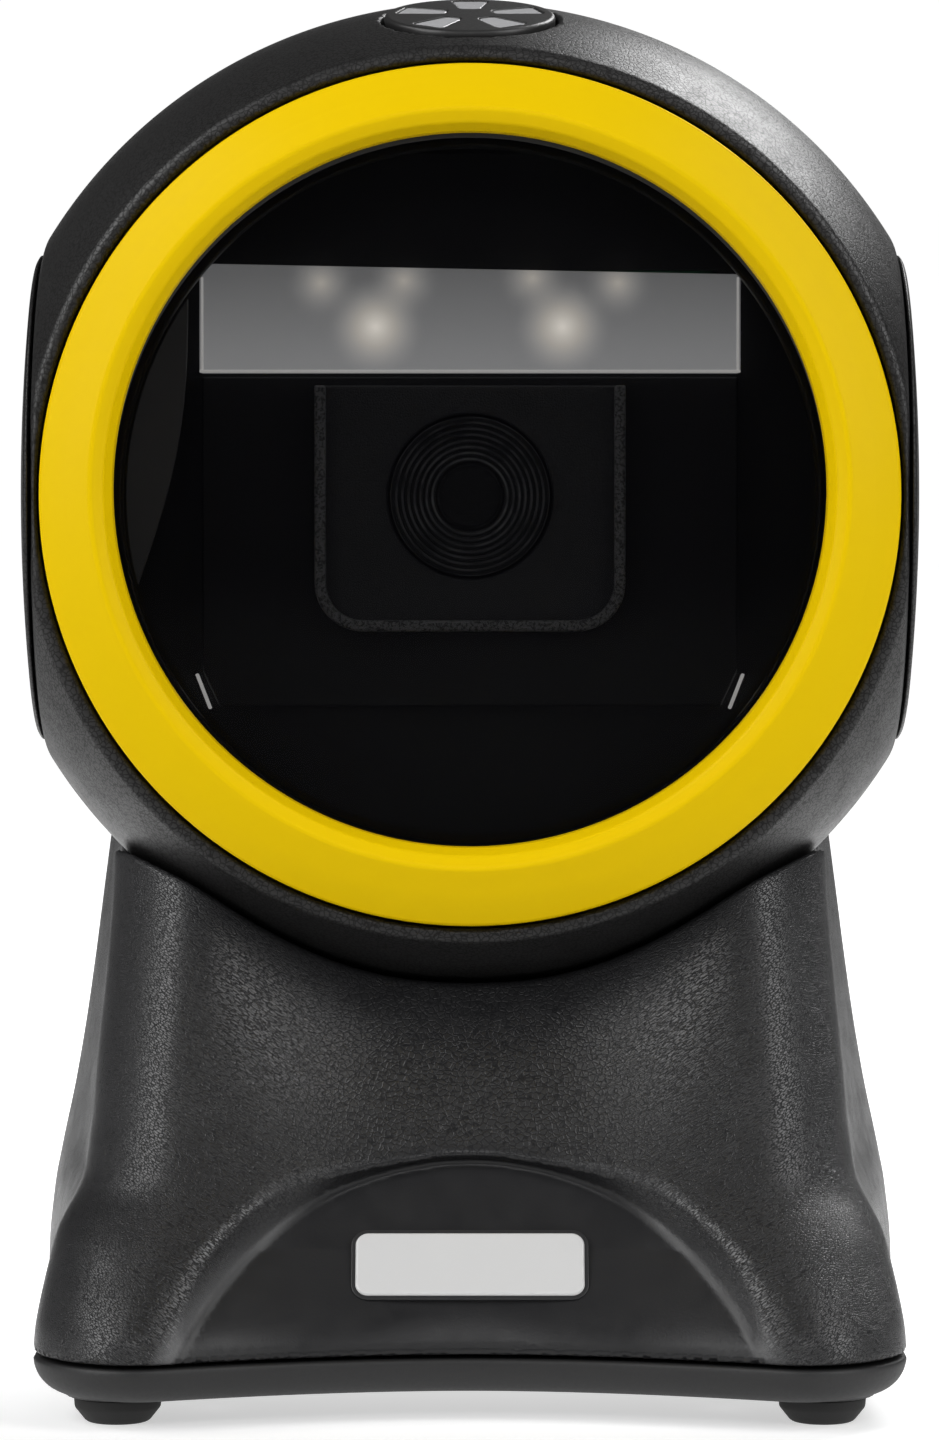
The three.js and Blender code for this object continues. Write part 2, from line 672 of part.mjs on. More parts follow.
// The arch on the base's front is a circle in front view. The face inside it leans back, from
// FACE.low to FACE.high, each [y, z].
const ARCH = { radius: 32.4, z: -7.3 };
const FACE = { low: [-38.5, 8.5], high: [-27.2, ARCH.z + ARCH.radius] };
const FACE_SLOPE = (FACE.high[0] - FACE.low[0]) / (FACE.high[1] - FACE.low[1]);
// Everything in front of the leaning face, moved back by depth, inside the arch grown by grow.
function archSpace(depth, grow, segments) {
  const [[y0, z0], [y1, z1]] = [FACE.low, FACE.high];
  const wedge = extruded(
    polygon([[-60, z0 - grow], [y0 + depth, z0 - grow], [y1 + depth, z1 + grow], [-60, z1 + grow]]),
    80,
  ).rotate([90, 0, 90]).translate([-40, 0, 0]);
  const arch = discAlongY(ARCH.radius + grow, [-70, 0], segments);
  return wedge.intersect(arch.translate([0, 0, ARCH.z]));
}

const baseScrewPlaces = [[-26, -28], [26, -28], [-30, 30], [30, 30]];
const BASE_SCREW_SEAT = PLATE_Z + 1.8;
const footPlaces = [[-1, -1], [1, -1], [-1, 1], [1, 1]].map(([i, j]) => [i * FOOT_XY[0], j * FOOT_XY[1]]);
const PORT_FLOOR = PORT.z - PORT.height / 2; // the socket's board lies just under this height
function baseShell() {
  const outside = loft(SECTIONS.map((s) => ringAt(s, 0)));
  const inside = loft(SECTIONS.map((s, i) => ringAt(s, WALL, i ? s.z - WALL : s.z - 3)));
  const ball = solid(
    new THREE.LatheGeometry(
      [[0, -CUP_R], ...ballArc(-CUP_R * 0.999, CUP_R * 0.999, 16, CUP_R), [0, CUP_R]].map(
        ([r, y]) => new THREE.Vector2(r, y),
      ),
      BALL_SEGMENTS,
    ),
  ).translate([0, 0, HEAD_Z]);
  const cupWall = solid(new THREE.SphereGeometry(CUP_R + WALL, 28, 16)).translate([0, 0, HEAD_Z]);
  const backing = archSpace(WALL, 1.5, 24);
  let shellBase = outside.subtract(inside.subtract(cupWall).subtract(backing));
  for (const [x, y] of baseScrewPlaces) {
    const post = disc(3.4, [SEAM_Z + 0.4, 56], 10).translate([x, y, 0]);
    shellBase = shellBase.add(post.intersect(outside));
  }
  for (const [x, y] of armScrewPlaces) {
    const post = disc(3.2, [ARM_FOOT_Z[1] + GAP, 56], 10).translate([x, y, 0]);
    shellBase = shellBase.add(post.intersect(outside));
  }
  shellBase = shellBase.subtract(ball).subtract(archSpace(0, 0, 72));
  for (const [x, y] of baseScrewPlaces) {
    shellBase = shellBase.subtract(disc(1.5, [0, 24], 8).translate([x, y, 0]));
  }
  for (const [x, y] of armScrewPlaces) {
    shellBase = shellBase.subtract(disc(1.5, [0, 28], 8).translate([x, y, 0]));
  }
  return shellBase
    .subtract(box([-7.5, 7.5], [7, 32], [24, 60]).intersect(armPassage()))
    .subtract(namePlateBlank(GAP, 1.6))
    .subtract(box([-PORT.width / 2, PORT.width / 2], [38, 60], [PORT_FLOOR, PORT_FLOOR + PORT.height]));
}

// The hole through the bottom of the cup, round the arm.
const armPassage = () =>
  box([-6.6, 6.6], [-4.8, 5.4], [-80, 0])
    .rotate([(ARM_LEAN * 180) / Math.PI, 0, 0])
    .translate([0, 0, HEAD_Z]);

// The name plate lies in the leaning face inside the arch, and stands a little proud of it.
const NAME_PLATE = { width: 23, height: 7.8, corner: 1.3, z: 15.15, proud: 0.35 };
function namePlateBlank(grow, depth) {
  const { width, height, corner, z, proud } = NAME_PLATE;
  const outline = roundedRect(width + 2 * grow, height + 2 * grow, corner + grow);
  const lean = (-Math.atan(FACE_SLOPE) * 180) / Math.PI;
  const y = FACE.low[0] + (z - FACE.low[1]) * FACE_SLOPE;
  return plateXZ(outline, [-proud, depth - proud], 3).rotate([lean, 0, 0]).translate([0, y, z]);
}

function basePlate() {
  const s = SECTIONS[0];
  const top = SEAM_Z - GAP;
  let plate = loft([
    ringAt(s, 4.6, PLATE_Z),
    ringAt(s, 2.2, PLATE_Z + 0.5),
    ringAt(s, 0.8, PLATE_Z + 1.6),
    ringAt(s, 0.2, top),
  ]);
  const floor = PLATE_Z + 2.2;
  plate = plate.subtract(loft([ringAt(s, 3.4, floor), ringAt(s, 3.4, 20)]));
  for (const [x, y] of footPlaces) {
    plate = plate.add(disc(FOOT_R + 0.5, [PLATE_Z, floor + 0.5], 16).translate([x, y, 0]));
  }
  for (const side of [-1, 1]) {
    const x = side < 0 ? [-10, -8] : [8, 10];
    const rib = box(x, [33, 41], [floor - 0.5, PORT_FLOOR - 1.6]); // carries the socket's board
    plate = plate.add(rib);
  }
  for (const [x, y] of baseScrewPlaces) {
    plate = plate
      .add(disc(4.6, [floor - 1, top], 12).translate([x, y, 0]))
      .subtract(disc(1.7, [0, 20], 8).translate([x, y, 0]))
      .subtract(disc(3, [0, BASE_SCREW_SEAT], 12).translate([x, y, 0]));
  }
  return plate;
}

// A rubber foot, slightly narrower where it meets the table.
const foot = () =>
  turned(
    [[0, 0], [FOOT_R - 1, 0], [FOOT_R - 0.3, 0.5], [FOOT_R, 1.2], [FOOT_R, PLATE_Z - GAP], [0, PLATE_Z - GAP]],
    16,
  );

const ballastPlate = () => box([-24, 24], [-22, 0], [PLATE_Z + 2.5, PLATE_Z + 8.5]);

const SOCKET_Y = [31.2, 43.4];
function interfaceSocket() {
  const [w, h] = [PORT.width / 2 - 0.4, PORT.height / 2 - 0.4];
  const inside = SOCKET_Y[0] + 1.5;
  return box([-w, w], SOCKET_Y, [PORT.z - h, PORT.z + h])
    .subtract(box([-w + 1.2, w - 1.2], [inside, 60], [PORT.z - h + 1.2, PORT.z + h - 2.2]))
    .subtract(box([-2.4, 2.4], [inside, 60], [PORT.z, PORT.z + h - 0.9]));
}
const socketBoard = () => box([-11, 11], [30.9, 41.4], [PORT_FLOOR - 1.3, PORT_FLOOR]);

// ---------------------------------------------------------------- boards in the head
function mainBoard() {
  let board = box([-30, 30], MAIN_BOARD_Y, [-20, 26]).add(box([-4.5, 4.5], [18.8, 22.5], [-4.2, 0.8]));
  for (const [x, z] of mainPosts) {
    board = board.subtract(discAlongY(1.4, [20, 30], 10).translate([x, 0, z]));
  }
  return board;
}
const processorCan = () => box([-12, 8], [23.9, 26.2], [-10, 8]);
const buzzer = () =>
  turnedAboutY([[0, 24], [5, 24], [5, 28], [1.4, 28], [1.4, 27], [0, 27]], 12).translate([19, 0, -8]);

function cameraHousing() {
  return box([-11.6, 11.6], [-10.3, -7.8], [-10.2, 9.7]).subtract(box([-4.4, 4.4], [-20, 0], [-4.4, 4.4]));
}

// ---------------------------------------------------------------- harness from the socket to the head
// A cable that leaves the socket, climbs the groove in the arm's back and ends at the main board. Its
// points are [y, z] in the plane x = 0.
const HARNESS_R = 1.4;
const HARNESS = [
  [30.6, 17.2],
  [28.6, 18],
  [26.4, 21],
  [22.8, 30.6],
  [18.2, 44.6],
  [13.6, 58.8],
  [9.6, 71],
  [9.9, 76.6],
  [14.5, 81.6],
  [18.9, 84.4],
  [20.2, 87.9],
];
function harness() {
  const path = new THREE.CatmullRomCurve3(
    HARNESS.map(([y, z]) => new THREE.Vector3(0, y, z)),
    false,
    "centripetal",
  );
  const section = new THREE.Shape();
  section.absarc(0, 0, HARNESS_R, 0, 2 * Math.PI);
  return solid(
    new THREE.ExtrudeGeometry(section, {
      steps: 20,
      extrudePath: path,
      curveSegments: 4,
      bevelEnabled: false,
    }),
  );
}

// ---------------------------------------------------------------- the assembly
function add(group, name, manifold, material) {
  const mesh = new THREE.Mesh(geometryOf(manifold), MATERIALS[material]);
  mesh.name = name;
  group.add(mesh);
  return mesh;
}

function addHeadCovers(head) {
  add(head, "front_housing", frontHousing, "housing");
  add(head, "rear_housing", rearHousing, "housing");
  for (const [side, name] of LEFT_RIGHT) {
    add(head, `side_cap_${name}`, mirrored(sideCap(), side), "housing");
  }
  add(head, "bezel_ring", bezelRing(), "yellow");
  add(head, "window_gasket", windowGasket(), "rubber");
  add(head, "scan_window", scanWindow(), "window");
  headScrewPlaces.forEach(([x, z], i) => {
    const mesh = add(head, `head_screw_${i + 1}`, facingBack(screw(2.5, 1.4, 12)), "steel");
    mesh.position.set(x, 17.9, z);
  });
}

function addOptics(head) {
  add(head, "light_diffuser", lightDiffuser(), "diffuser");
  add(head, "optics_panel", opticsPanel(), "innerBlack");
  add(head, "engine_shroud", engineShroud(), "innerBlack");
  add(head, "lens_barrel", lensBarrel(), "innerBlack");
  add(head, "lens", lens(), "window");
  add(head, "camera_housing", cameraHousing(), "innerBlack");
  add(head, "image_sensor", imageSensor(), "innerBlack");
  add(head, "sensor_board", sensorBoard(), "board");
  add(head, "led_board", ledBoard(), "board");
  add(head, "optics_carrier", opticsCarrier(), "innerBlack");
  for (const [side, name] of LEFT_RIGHT) {
    add(head, `panel_clip_${name}`, panelClip(side), "steel");
  }
  carrierPosts.forEach(([x, z], i) => {
    const mesh = add(head, `carrier_screw_${i + 1}`, facingBack(screw(2.3, 1.1, 6)), "steel");
    mesh.position.set(x, CARRIER_Y[1] + GAP, z);
  });
}

function addElectronics(head) {
  add(head, "main_board", mainBoard(), "board");
  add(head, "processor_can", processorCan(), "steel");
  add(head, "buzzer", buzzer(), "innerBlack");
  mainPosts.forEach(([x, z], i) => {
    const mesh = add(head, `main_board_screw_${i + 1}`, facingFront(screw(2.3, 1.1, 7)), "steel");
    mesh.position.set(x, MAIN_BOARD_Y[0] - GAP, z);
  });
}

function addHinge(head) {
  add(head, "hinge_bracket", hingeBracket(), "steel");
  add(head, "pivot_pin", pivotPin(), "steel");
  add(head, "lock_nut", lockNut(), "steel");
  for (const [side, name] of LEFT_RIGHT) {
    add(head, `friction_washer_${name}`, mirrored(frictionWasher(), side), "rubber");
    const mesh = add(head, `bracket_screw_${name}`, facingBack(screw(2.4, 1.1, 6)), "steel");
    mesh.position.set(side * BRACKET_SCREW_X, BRACKET_BAR_Y[1] + GAP, BRACKET_SCREW_Z);
  }
}

function addTopButton(head) {
  const tilted = new THREE.Group();
  tilted.rotation.x = BUTTON_TILT;
  head.add(tilted);
  add(tilted, "top_button", topButton(), "housing");
  add(tilted, "light_guide", lightGuide(), "lightGuide");
  add(tilted, "switch_board", switchBoard(), "board");
  add(tilted, "tact_switch", tactSwitch(), "innerBlack");
}

function addBase(scanner) {
  add(scanner, "base_shell", baseShell(), "base");
  add(scanner, "base_plate", basePlate(), "base");
  add(scanner, "name_plate", namePlateBlank(0, 1.2), "silver");
  footPlaces.forEach(([x, y], i) => {
    add(scanner, `rubber_foot_${i + 1}`, foot(), "rubber").position.set(x, y, 0);
  });
  baseScrewPlaces.forEach(([x, y], i) => {
    const mesh = add(scanner, `base_screw_${i + 1}`, facingDown(screw(2.6, 1.2, 10)), "steel");
    mesh.position.set(x, y, BASE_SCREW_SEAT - GAP);
  });
  add(scanner, "ballast_plate", ballastPlate(), "ballast");
  add(scanner, "tilt_arm", tiltArm(), "steel");
  armScrewPlaces.forEach(([x, y], i) => {
    const mesh = add(scanner, `arm_screw_${i + 1}`, facingDown(screw(2.8, 1.2, 11)), "steel");
    mesh.position.set(x, y, ARM_FOOT_Z[0] - GAP);
  });
  add(scanner, "interface_socket", interfaceSocket(), "innerBlack");
  add(scanner, "socket_board", socketBoard(), "board");
  add(scanner, "harness", harness(), "rubber");
}

const scanner = new THREE.Group();
const head = new THREE.Group();
head.position.set(0, 0, HEAD_Z);
addHeadCovers(head);
addOptics(head);
addElectronics(head);
addHinge(head);
addTopButton(head);
scanner.add(head);
addBase(scanner);

export default scanner;
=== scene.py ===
"""The looks of the desktop barcode scanner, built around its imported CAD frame.

Shapes are worked out in millimetres in the frame's axes (front is -Y, up is +Z) and stored in
metres. The moulded shells are level sets: a function that is negative inside, meshed on a fine
grid. Turned pieces are profiles swept round an axis, with their corners rounded by arcs. A name that
ends in X, Y or Z is a place along that axis, and one that ends in R is a radius.
"""
import json
import math

import bmesh
import bpy
import numpy as np
from mathutils import Matrix, Vector


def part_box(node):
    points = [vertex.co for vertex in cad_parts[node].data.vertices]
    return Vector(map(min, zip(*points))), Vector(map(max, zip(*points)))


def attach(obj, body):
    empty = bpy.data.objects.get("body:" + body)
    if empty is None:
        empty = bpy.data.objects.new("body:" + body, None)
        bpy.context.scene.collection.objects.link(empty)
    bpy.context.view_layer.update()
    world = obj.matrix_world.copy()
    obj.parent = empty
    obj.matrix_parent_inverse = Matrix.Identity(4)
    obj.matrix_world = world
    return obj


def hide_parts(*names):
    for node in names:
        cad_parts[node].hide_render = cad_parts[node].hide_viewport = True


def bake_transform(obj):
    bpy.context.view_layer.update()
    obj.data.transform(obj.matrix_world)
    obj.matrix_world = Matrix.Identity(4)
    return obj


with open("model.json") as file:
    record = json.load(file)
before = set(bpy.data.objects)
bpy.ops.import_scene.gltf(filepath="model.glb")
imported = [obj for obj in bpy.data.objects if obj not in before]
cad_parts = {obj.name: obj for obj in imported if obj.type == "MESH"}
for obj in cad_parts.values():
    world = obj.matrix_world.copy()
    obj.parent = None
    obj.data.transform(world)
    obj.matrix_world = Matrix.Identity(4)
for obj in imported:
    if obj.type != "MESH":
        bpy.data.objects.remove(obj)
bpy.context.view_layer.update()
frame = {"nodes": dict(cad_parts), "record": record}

# ---------------- driving dimensions, in millimetres
MM = 0.001
HEAD_Z = frame["record"]["behaviour"]["joints"][0]["pos_m"][2] / MM  # height of the tilt axis
HEAD_R = 52.0  # the ball that the head is cut from
WALL = 2.4
SPLIT_Y = 12.0  # the two housings part here
SPLIT_GAP = 0.3
SIDE_X = 44.6  # flats under the side covers
SIDE_COVER_X = 45.4  # the side covers' rims
SIDE_DOME_X = 46.9  # the middles of their domes
SIDE_GAP = 0.25  # clearance round the side covers
SIDE_SEAT = 0.3  # clearance under them
SIDE_SPIGOT_R = 8.1  # the round boss that centres a cover in its seat
BACK_DOME_Y = 46.6
BACK_EDGE = (26.4, 45.0)  # radius and y of the back dome's rim
RIM_Y = -25.5  # the front edge of the housing, round the ring
OPENING_R = 44.0
LEDGE_Y, LEDGE_IN_R = -21.0, 35.5  # the window rests on this ledge
LEDGE_DEPTH, LEDGE_WALL = 6.0, 2.2
ARM_SLOT_ANGLE = (18.25, 21.75)  # middle and half-width, in degrees back from straight down
ARM_SLOT_X = 6.8  # half its width
ARM_SLOT_R = 40.0
HEAD_SCREW_XZ = 43.8 * math.sqrt(0.5)  # the head's screws stand at the corners of a square
HEAD_BOSS_R, HEAD_SEAT_R, HEAD_HOLE_R = 4.2, 2.8, 1.7
HEAD_SEAT_Y = 17.6
VENT_PITCH = 5.0
VENT_R = 0.9  # half the width of a sound slot
VENT_HALF = 13.0  # half the length of the middle slot
VENT_TAPER = 2.5  # each slot away from it is this much shorter at either end
VENT_Y = 38.0  # how deep the slots are cut
RING_LIFT = 0.55  # the ring's ridge and inner edge sit higher than its outer edge by this
RING_LIFT_R = (38.6, 43.4)  # between these radii
BUTTON_TILT = math.radians(16)
BUTTON_R = 8.8
BUTTON_HOLE_R = 9.15
BUTTON_TOP = 51.8
BUTTON_CROWN = 500.0  # the top falls by the radius squared over this
BUTTON_FLOOR = 49.0
PETALS = 5
PETAL_R, PETAL_LENGTH = 5.05, 4.8  # the middle and the length of a light window
PETAL_DROP = 0.08
PETAL_DISC_R = 7.0
PETAL_DISC_Z = (48.0, 48.9)
CUP_R = HEAD_R + 0.7
RIM_Z = 57.2
SEAM_Z = 6.8
SEAM_GAP = 0.35
PLATE_Z = 2.8
TOE_Z = (10, 23)  # between these heights the toes give way to the pillars
ARCH_R, ARCH_Z = 32.4, -7.3  # the arch in the base's front is part of a circle
PORT_Z = 16.0
PORT_HALF = (6.5, 5.25)
PORT_Y = 38.0
BASE_ARM_LEAN = math.radians(18)
BASE_ARM_X = 6.6
BASE_ARM_DEPTH = (0.3, 5.1)  # middle and half-width across the arm
BASE_BOSS_R, BASE_SEAT_R, BASE_HOLE_R = 4.6, 3.0, 1.7  # round the base's screws
BASE_SEAT_DEPTH = 1.8
NAME_PLATE_Z = 15.15
NAME_PLATE_HALF = (11.5, 3.5)
NAME_PLATE_EDGE = 0.4  # how far its dark surround shows
GRAIN_LINES_X = (7, 24)  # the base's grain turns from pebbles to slanting lines between these
GRAIN_LINES_CELL = 0.55  # the lines' cells against the pebbles'
GRAIN_LINES_PULL = (0.35, 1, 1.7)
GRAIN_LINES_TURN = math.radians(35)


def node_box(node):
    """Lowest and highest corner of a CAD node, in millimetres."""
    low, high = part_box(node)
    return np.array(low) / MM, np.array(high) / MM


def node_middle(node):
    low, high = node_box(node)
    return (low + high) / 2


def add_object(name, data):
    obj = bpy.data.objects.new(name, data)
    bpy.context.collection.objects.link(obj)
    return obj


# ---------------- camera
def make_camera():
    """A long lens at the height of the head, a little above level with the base."""
    data = bpy.data.cameras.new("camera")
    data.sensor_fit = "VERTICAL"
    data.sensor_height = 36
    data.lens = 141.6
    camera = add_object("camera", data)
    camera.location = (0, -0.6, 0.0875)
    camera.rotation_euler = (math.radians(90 - 1.77), 0, 0)
    bpy.context.scene.camera = camera


make_camera()


# ---------------- combining level sets
def round_cut(a, b, r):
    """What is inside both a and b, with the edge between them rounded to radius r."""
    corner = np.hypot(np.maximum(a + r, 0), np.maximum(b + r, 0))
    return np.minimum(np.maximum(a, b), -r) + corner


def carve(a, b, r):
    """a without b, with the edge rounded to radius r."""
    return round_cut(a, -b, r)


def join(a, b, r):
    """a and b together, with the corner between them filled to radius r."""
    return -round_cut(-a, -b, r)


def smoothstep(x, low, high):
    t = np.clip((x - low) / (high - low), 0, 1)
    return t * t * (3 - 2 * t)


def smooth_curve(knots, values, x):
    """A smooth curve through (knots, values), by cubic Hermite pieces."""
    k, v = np.asarray(knots, float), np.asarray(values, float)
    slope = np.gradient(v, k)
    x = np.clip(x, k[0], k[-1])
    i = np.clip(np.searchsorted(k, x) - 1, 0, len(k) - 2)
    h = k[i + 1] - k[i]
    t = (x - k[i]) / h
    t2, t3 = t * t, t * t * t
    return (
        (2 * t3 - 3 * t2 + 1) * v[i]
        + (t3 - 2 * t2 + t) * h * slope[i]
        + (3 * t2 - 2 * t3) * v[i + 1]
        + (t3 - t2) * h * slope[i + 1]
    )


# ---------------- meshing a level set
def cell_vertices(values, origin, step):
    """One vertex for each grid cell that the surface crosses, at the mean of its edge crossings."""
    inside = values < 0
    n = tuple(s - 1 for s in values.shape)
    corners = list(np.ndindex(2, 2, 2))

    def at(array, c):
        return array[c[0] : c[0] + n[0], c[1] : c[1] + n[1], c[2] : c[2] + n[2]]

    count = sum(at(inside, c).astype(np.int8) for c in corners)
    cells = np.argwhere((count > 0) & (count < 8))
    total = np.zeros((len(cells), 3))
    hits = np.zeros(len(cells))
    for c in corners:
        for axis in range(3):
            if c[axis]:
                continue
            d = list(c)
            d[axis] = 1
            a = values[tuple((cells + c).T)]
            b = values[tuple((cells + d).T)]
            cross = (a < 0) != (b < 0)
            t = np.where(cross, a / np.where(cross, a - b, 1), 0)
            point = np.array(c, float) + np.eye(3)[axis] * t[:, None]
            total += np.where(cross[:, None], point, 0)
            hits += cross
    points = (cells + total / hits[:, None]) * step + origin
    number = np.full(n, -1, np.int64)
    number[tuple(cells.T)] = np.arange(len(cells))
    return points, number


def cell_quads(values, number):
    """A quad round each grid edge that the surface crosses, facing outwards."""
    quads = []
    inside = values < 0
    for axis in range(3):
        u, v = (axis + 1) % 3, (axis + 2) % 3
        here = [slice(1, -1)] * 3
        here[axis] = slice(0, -1)
        ahead = list(here)
        ahead[axis] = slice(1, None)
        a, b = inside[tuple(here)], inside[tuple(ahead)]
        for going_out in (True, False):
            edges = np.argwhere(a & ~b if going_out else ~a & b)
            first = edges.copy()
            first[:, [u, v]] += 1
            ring = []
            for du, dv in ((-1, -1), (0, -1), (0, 0), (-1, 0)):
                cell = first.copy()
                cell[:, u] += du
                cell[:, v] += dv
                ring.append(number[tuple(cell.T)])
            quads.append(np.stack(ring if going_out else ring[::-1], axis=1))
    quads = np.concatenate(quads)
    return quads[(quads >= 0).all(axis=1)]


def slopes(f, p):
    """The gradient of f at points p, by central differences."""
    e = 0.02
    g = np.empty_like(p)
    for axis in range(3):
        d = np.eye(3)[axis] * e
        high, low = p + d, p - d
        g[:, axis] = (f(*high.T) - f(*low.T)) / (2 * e)
    return g


def mesh_object(name, points, faces, normals=None):
    """A mesh object from points in millimetres."""
    mesh = bpy.data.meshes.new(name)
    mesh.from_pydata((points * MM).tolist(), [], faces)
    mesh.validate()
    mesh.polygons.foreach_set("use_smooth", [True] * len(mesh.polygons))
    if normals is not None:
        mesh.normals_split_custom_set_from_vertices(normals.tolist())
    return add_object(name, mesh)


def grid_step(fine):
    return fine


def moulded(name, f, low, high, step):
    """The surface f = 0 inside a box, as a mesh whose vertices lie on the surface."""
    axes = [np.arange(a - step, b + 2 * step, step) for a, b in zip(low, high)]
    grid = np.meshgrid(*axes, indexing="ij", sparse=True)
    values = np.broadcast_to(f(*grid), [len(a) for a in axes]).copy()
    origin = np.array([a[0] for a in axes])
    points, number = cell_vertices(values, origin, step)
    faces = cell_quads(values, number)
    for _ in range(3):
        g = slopes(f, points)
        size = np.maximum((g * g).sum(axis=1), 0.05)
        move = -g * (f(*points.T) / size)[:, None]
        far = np.linalg.norm(move, axis=1)
        move *= np.minimum(1, 0.5 * step / np.maximum(far, 1e-9))[:, None]
        points = points + move
    g = slopes(f, points)
    g /= np.maximum(np.linalg.norm(g, axis=1), 1e-6)[:, None]
    return mesh_object(name, points, faces.tolist(), g)


# ---------------- turned pieces
def rounded_profile(points, steps=5):
    """A closed outline from (x, y, corner radius) points, its corners rounded by arcs."""
    out = []
    n = len(points)
    for i, (x, y, r) in enumerate(points):
        p = np.array((x, y), float)
        if r <= 0:
            out.append(p)
            continue
        a = np.array(points[i - 1][:2], float) - p
        b = np.array(points[(i + 1) % n][:2], float) - p
        a, b = a / np.linalg.norm(a), b / np.linalg.norm(b)
        half = math.acos(float(np.clip(a @ b, -1, 1))) / 2
        reach = r / math.tan(half)
        centre = p + (a + b) / np.linalg.norm(a + b) * r / math.sin(half)
        start, end = p + a * reach - centre, p + b * reach - centre
        sweep = math.pi - 2 * half
        for k in range(steps + 1):
            t = k / steps
            w0 = math.sin((1 - t) * sweep) / math.sin(sweep)
            w1 = math.sin(t * sweep) / math.sin(sweep)
            out.append(centre + start * w0 + end * w1)
    return np.array(out)


def turned(name, profile, axis, segments=96, centre=(0, 0, 0), lift=None):
    """A closed profile of (radius, place along the axis) turned about X, Y or Z through centre.

    lift gives how far each profile point's circle is moved up, for a piece that isn't quite round.
    """
    profile = np.asarray(profile, float)
    n = len(profile)
    angle = np.arange(segments) * 2 * math.pi / segments
    radius = np.maximum(profile[:, 0], 0)
    u = np.cos(angle)[:, None] * radius
    v = np.sin(angle)[:, None] * radius
    w = np.broadcast_to(profile[:, 1], u.shape)
    points = {"X": (w, u, v), "Y": (v, w, u), "Z": (u, v, w)}[axis]
    points = np.stack(points, axis=-1) + np.asarray(centre, float)
    if lift is not None:
        points[..., 2] += lift
    faces = []
    for i in range(segments):
        j = (i + 1) % segments
        for k in range(n):
            m = (k + 1) % n
            if radius[k] == 0 and radius[m] == 0:
                continue
            faces.append((i * n + k, j * n + k, j * n + m, i * n + m))
    obj = mesh_object(name, points.reshape(-1, 3), faces)
    weld(obj)
    return obj


def weld(obj, sharp=math.radians(35)):
    """Merges doubled points and marks the corners that aren't rounded as sharp."""
    bm = bmesh.new()
    bm.from_mesh(obj.data)
    bmesh.ops.remove_doubles(bm, verts=bm.verts, dist=1e-7)
    bmesh.ops.dissolve_degenerate(bm, edges=bm.edges, dist=1e-7)
    bmesh.ops.recalc_face_normals(bm, faces=bm.faces)
    for edge in bm.edges:
        if len(edge.link_faces) == 2 and edge.calc_face_angle(0) > sharp:
            edge.smooth = False
    bm.to_mesh(obj.data)
    bm.free()


def slab(name, outline, y, edge):
    """A plate in the XZ plane between two y values, with its edges rounded."""
    bm = bmesh.new()
    verts = [bm.verts.new(Vector((px, y[0], pz)) * MM) for px, pz in outline]
    face = bm.faces.new(verts)
    made = bmesh.ops.extrude_face_region(bm, geom=[face])["geom"]
    moved = [g for g in made if isinstance(g, bmesh.types.BMVert)]
    bmesh.ops.translate(bm, verts=moved, vec=(0, (y[1] - y[0]) * MM, 0))
    bmesh.ops.recalc_face_normals(bm, faces=bm.faces)
    edges = [e for e in bm.edges if e.calc_face_angle(0) > math.radians(25)]
    bmesh.ops.bevel(bm, geom=edges, offset=edge * MM, segments=2, profile=0.5, affect="EDGES")
    for f in bm.faces:
        f.smooth = True
    mesh = bpy.data.meshes.new(name)
    bm.to_mesh(mesh)
    bm.free()
    obj = add_object(name, mesh)
    weighted = obj.modifiers.new("even_normals", "WEIGHTED_NORMAL")
    weighted.keep_sharp = True
    return obj


def box_outline(x0, x1, z0, z1, corner=0.0, steps=5):
    corners = [(x, z, corner) for x, z in ((x0, z0), (x1, z0), (x1, z1), (x0, z1))]
    return rounded_profile(corners, steps)


# ---------------- materials
def new_material(name, color, roughness, **sockets):
    mat = bpy.data.materials.new(name)
    mat.use_nodes = True
    tree = mat.node_tree
    shader = tree.nodes["Principled BSDF"]
    shader.inputs["Base Color"].default_value = (*color, 1)
    shader.inputs["Roughness"].default_value = roughness
    for socket, value in sockets.items():
        shader.inputs[socket.replace("_", " ")].default_value = value
    return mat, tree, shader


def feed(tree, node, inputs):
    """Gives a node its inputs, by name or number: each is a value or another node's output."""
    for key, value in inputs.items():
        if isinstance(value, bpy.types.NodeSocket):
            tree.links.new(value, node.inputs[key])
        else:
            node.inputs[key].default_value = value


def add_node(tree, kind, inputs, **settings):
    node = tree.nodes.new(kind)
    for key, value in settings.items():
        setattr(node, key, value)
    feed(tree, node, inputs)
    return node


def calculate(tree, operation, *values):
    inputs = dict(enumerate(values))
    return add_node(tree, "ShaderNodeMath", inputs, operation=operation).outputs["Value"]


def calculate_vector(tree, operation, *values):
    inputs = dict(enumerate(values))
    node = add_node(tree, "ShaderNodeVectorMath", inputs, operation=operation)
    return node.outputs["Value" if operation == "LENGTH" else "Vector"]


def scale_vector(tree, vector, factor):
    inputs = {0: vector, "Scale": factor}
    node = add_node(tree, "ShaderNodeVectorMath", inputs, operation="SCALE")
    return node.outputs["Vector"]


def split_axes(tree, place):
    """The X, Y and Z of a place."""
    return add_node(tree, "ShaderNodeSeparateXYZ", {0: place}).outputs


def place_in_mm(tree):
    """The point on the piece at rest, in millimetres."""
    place = add_node(tree, "ShaderNodeTexCoord", {}).outputs["Object"]
    return scale_vector(tree, place, 1 / MM)


def distance_from_axis(tree, place, z, x=0):
    """How far a point is, in mm, from the line along Y through x and z."""
    centred = calculate_vector(tree, "SUBTRACT", place, (x, 0, z))
    flat = calculate_vector(tree, "MULTIPLY", centred, (1, 0, 1))
    return calculate_vector(tree, "LENGTH", flat)


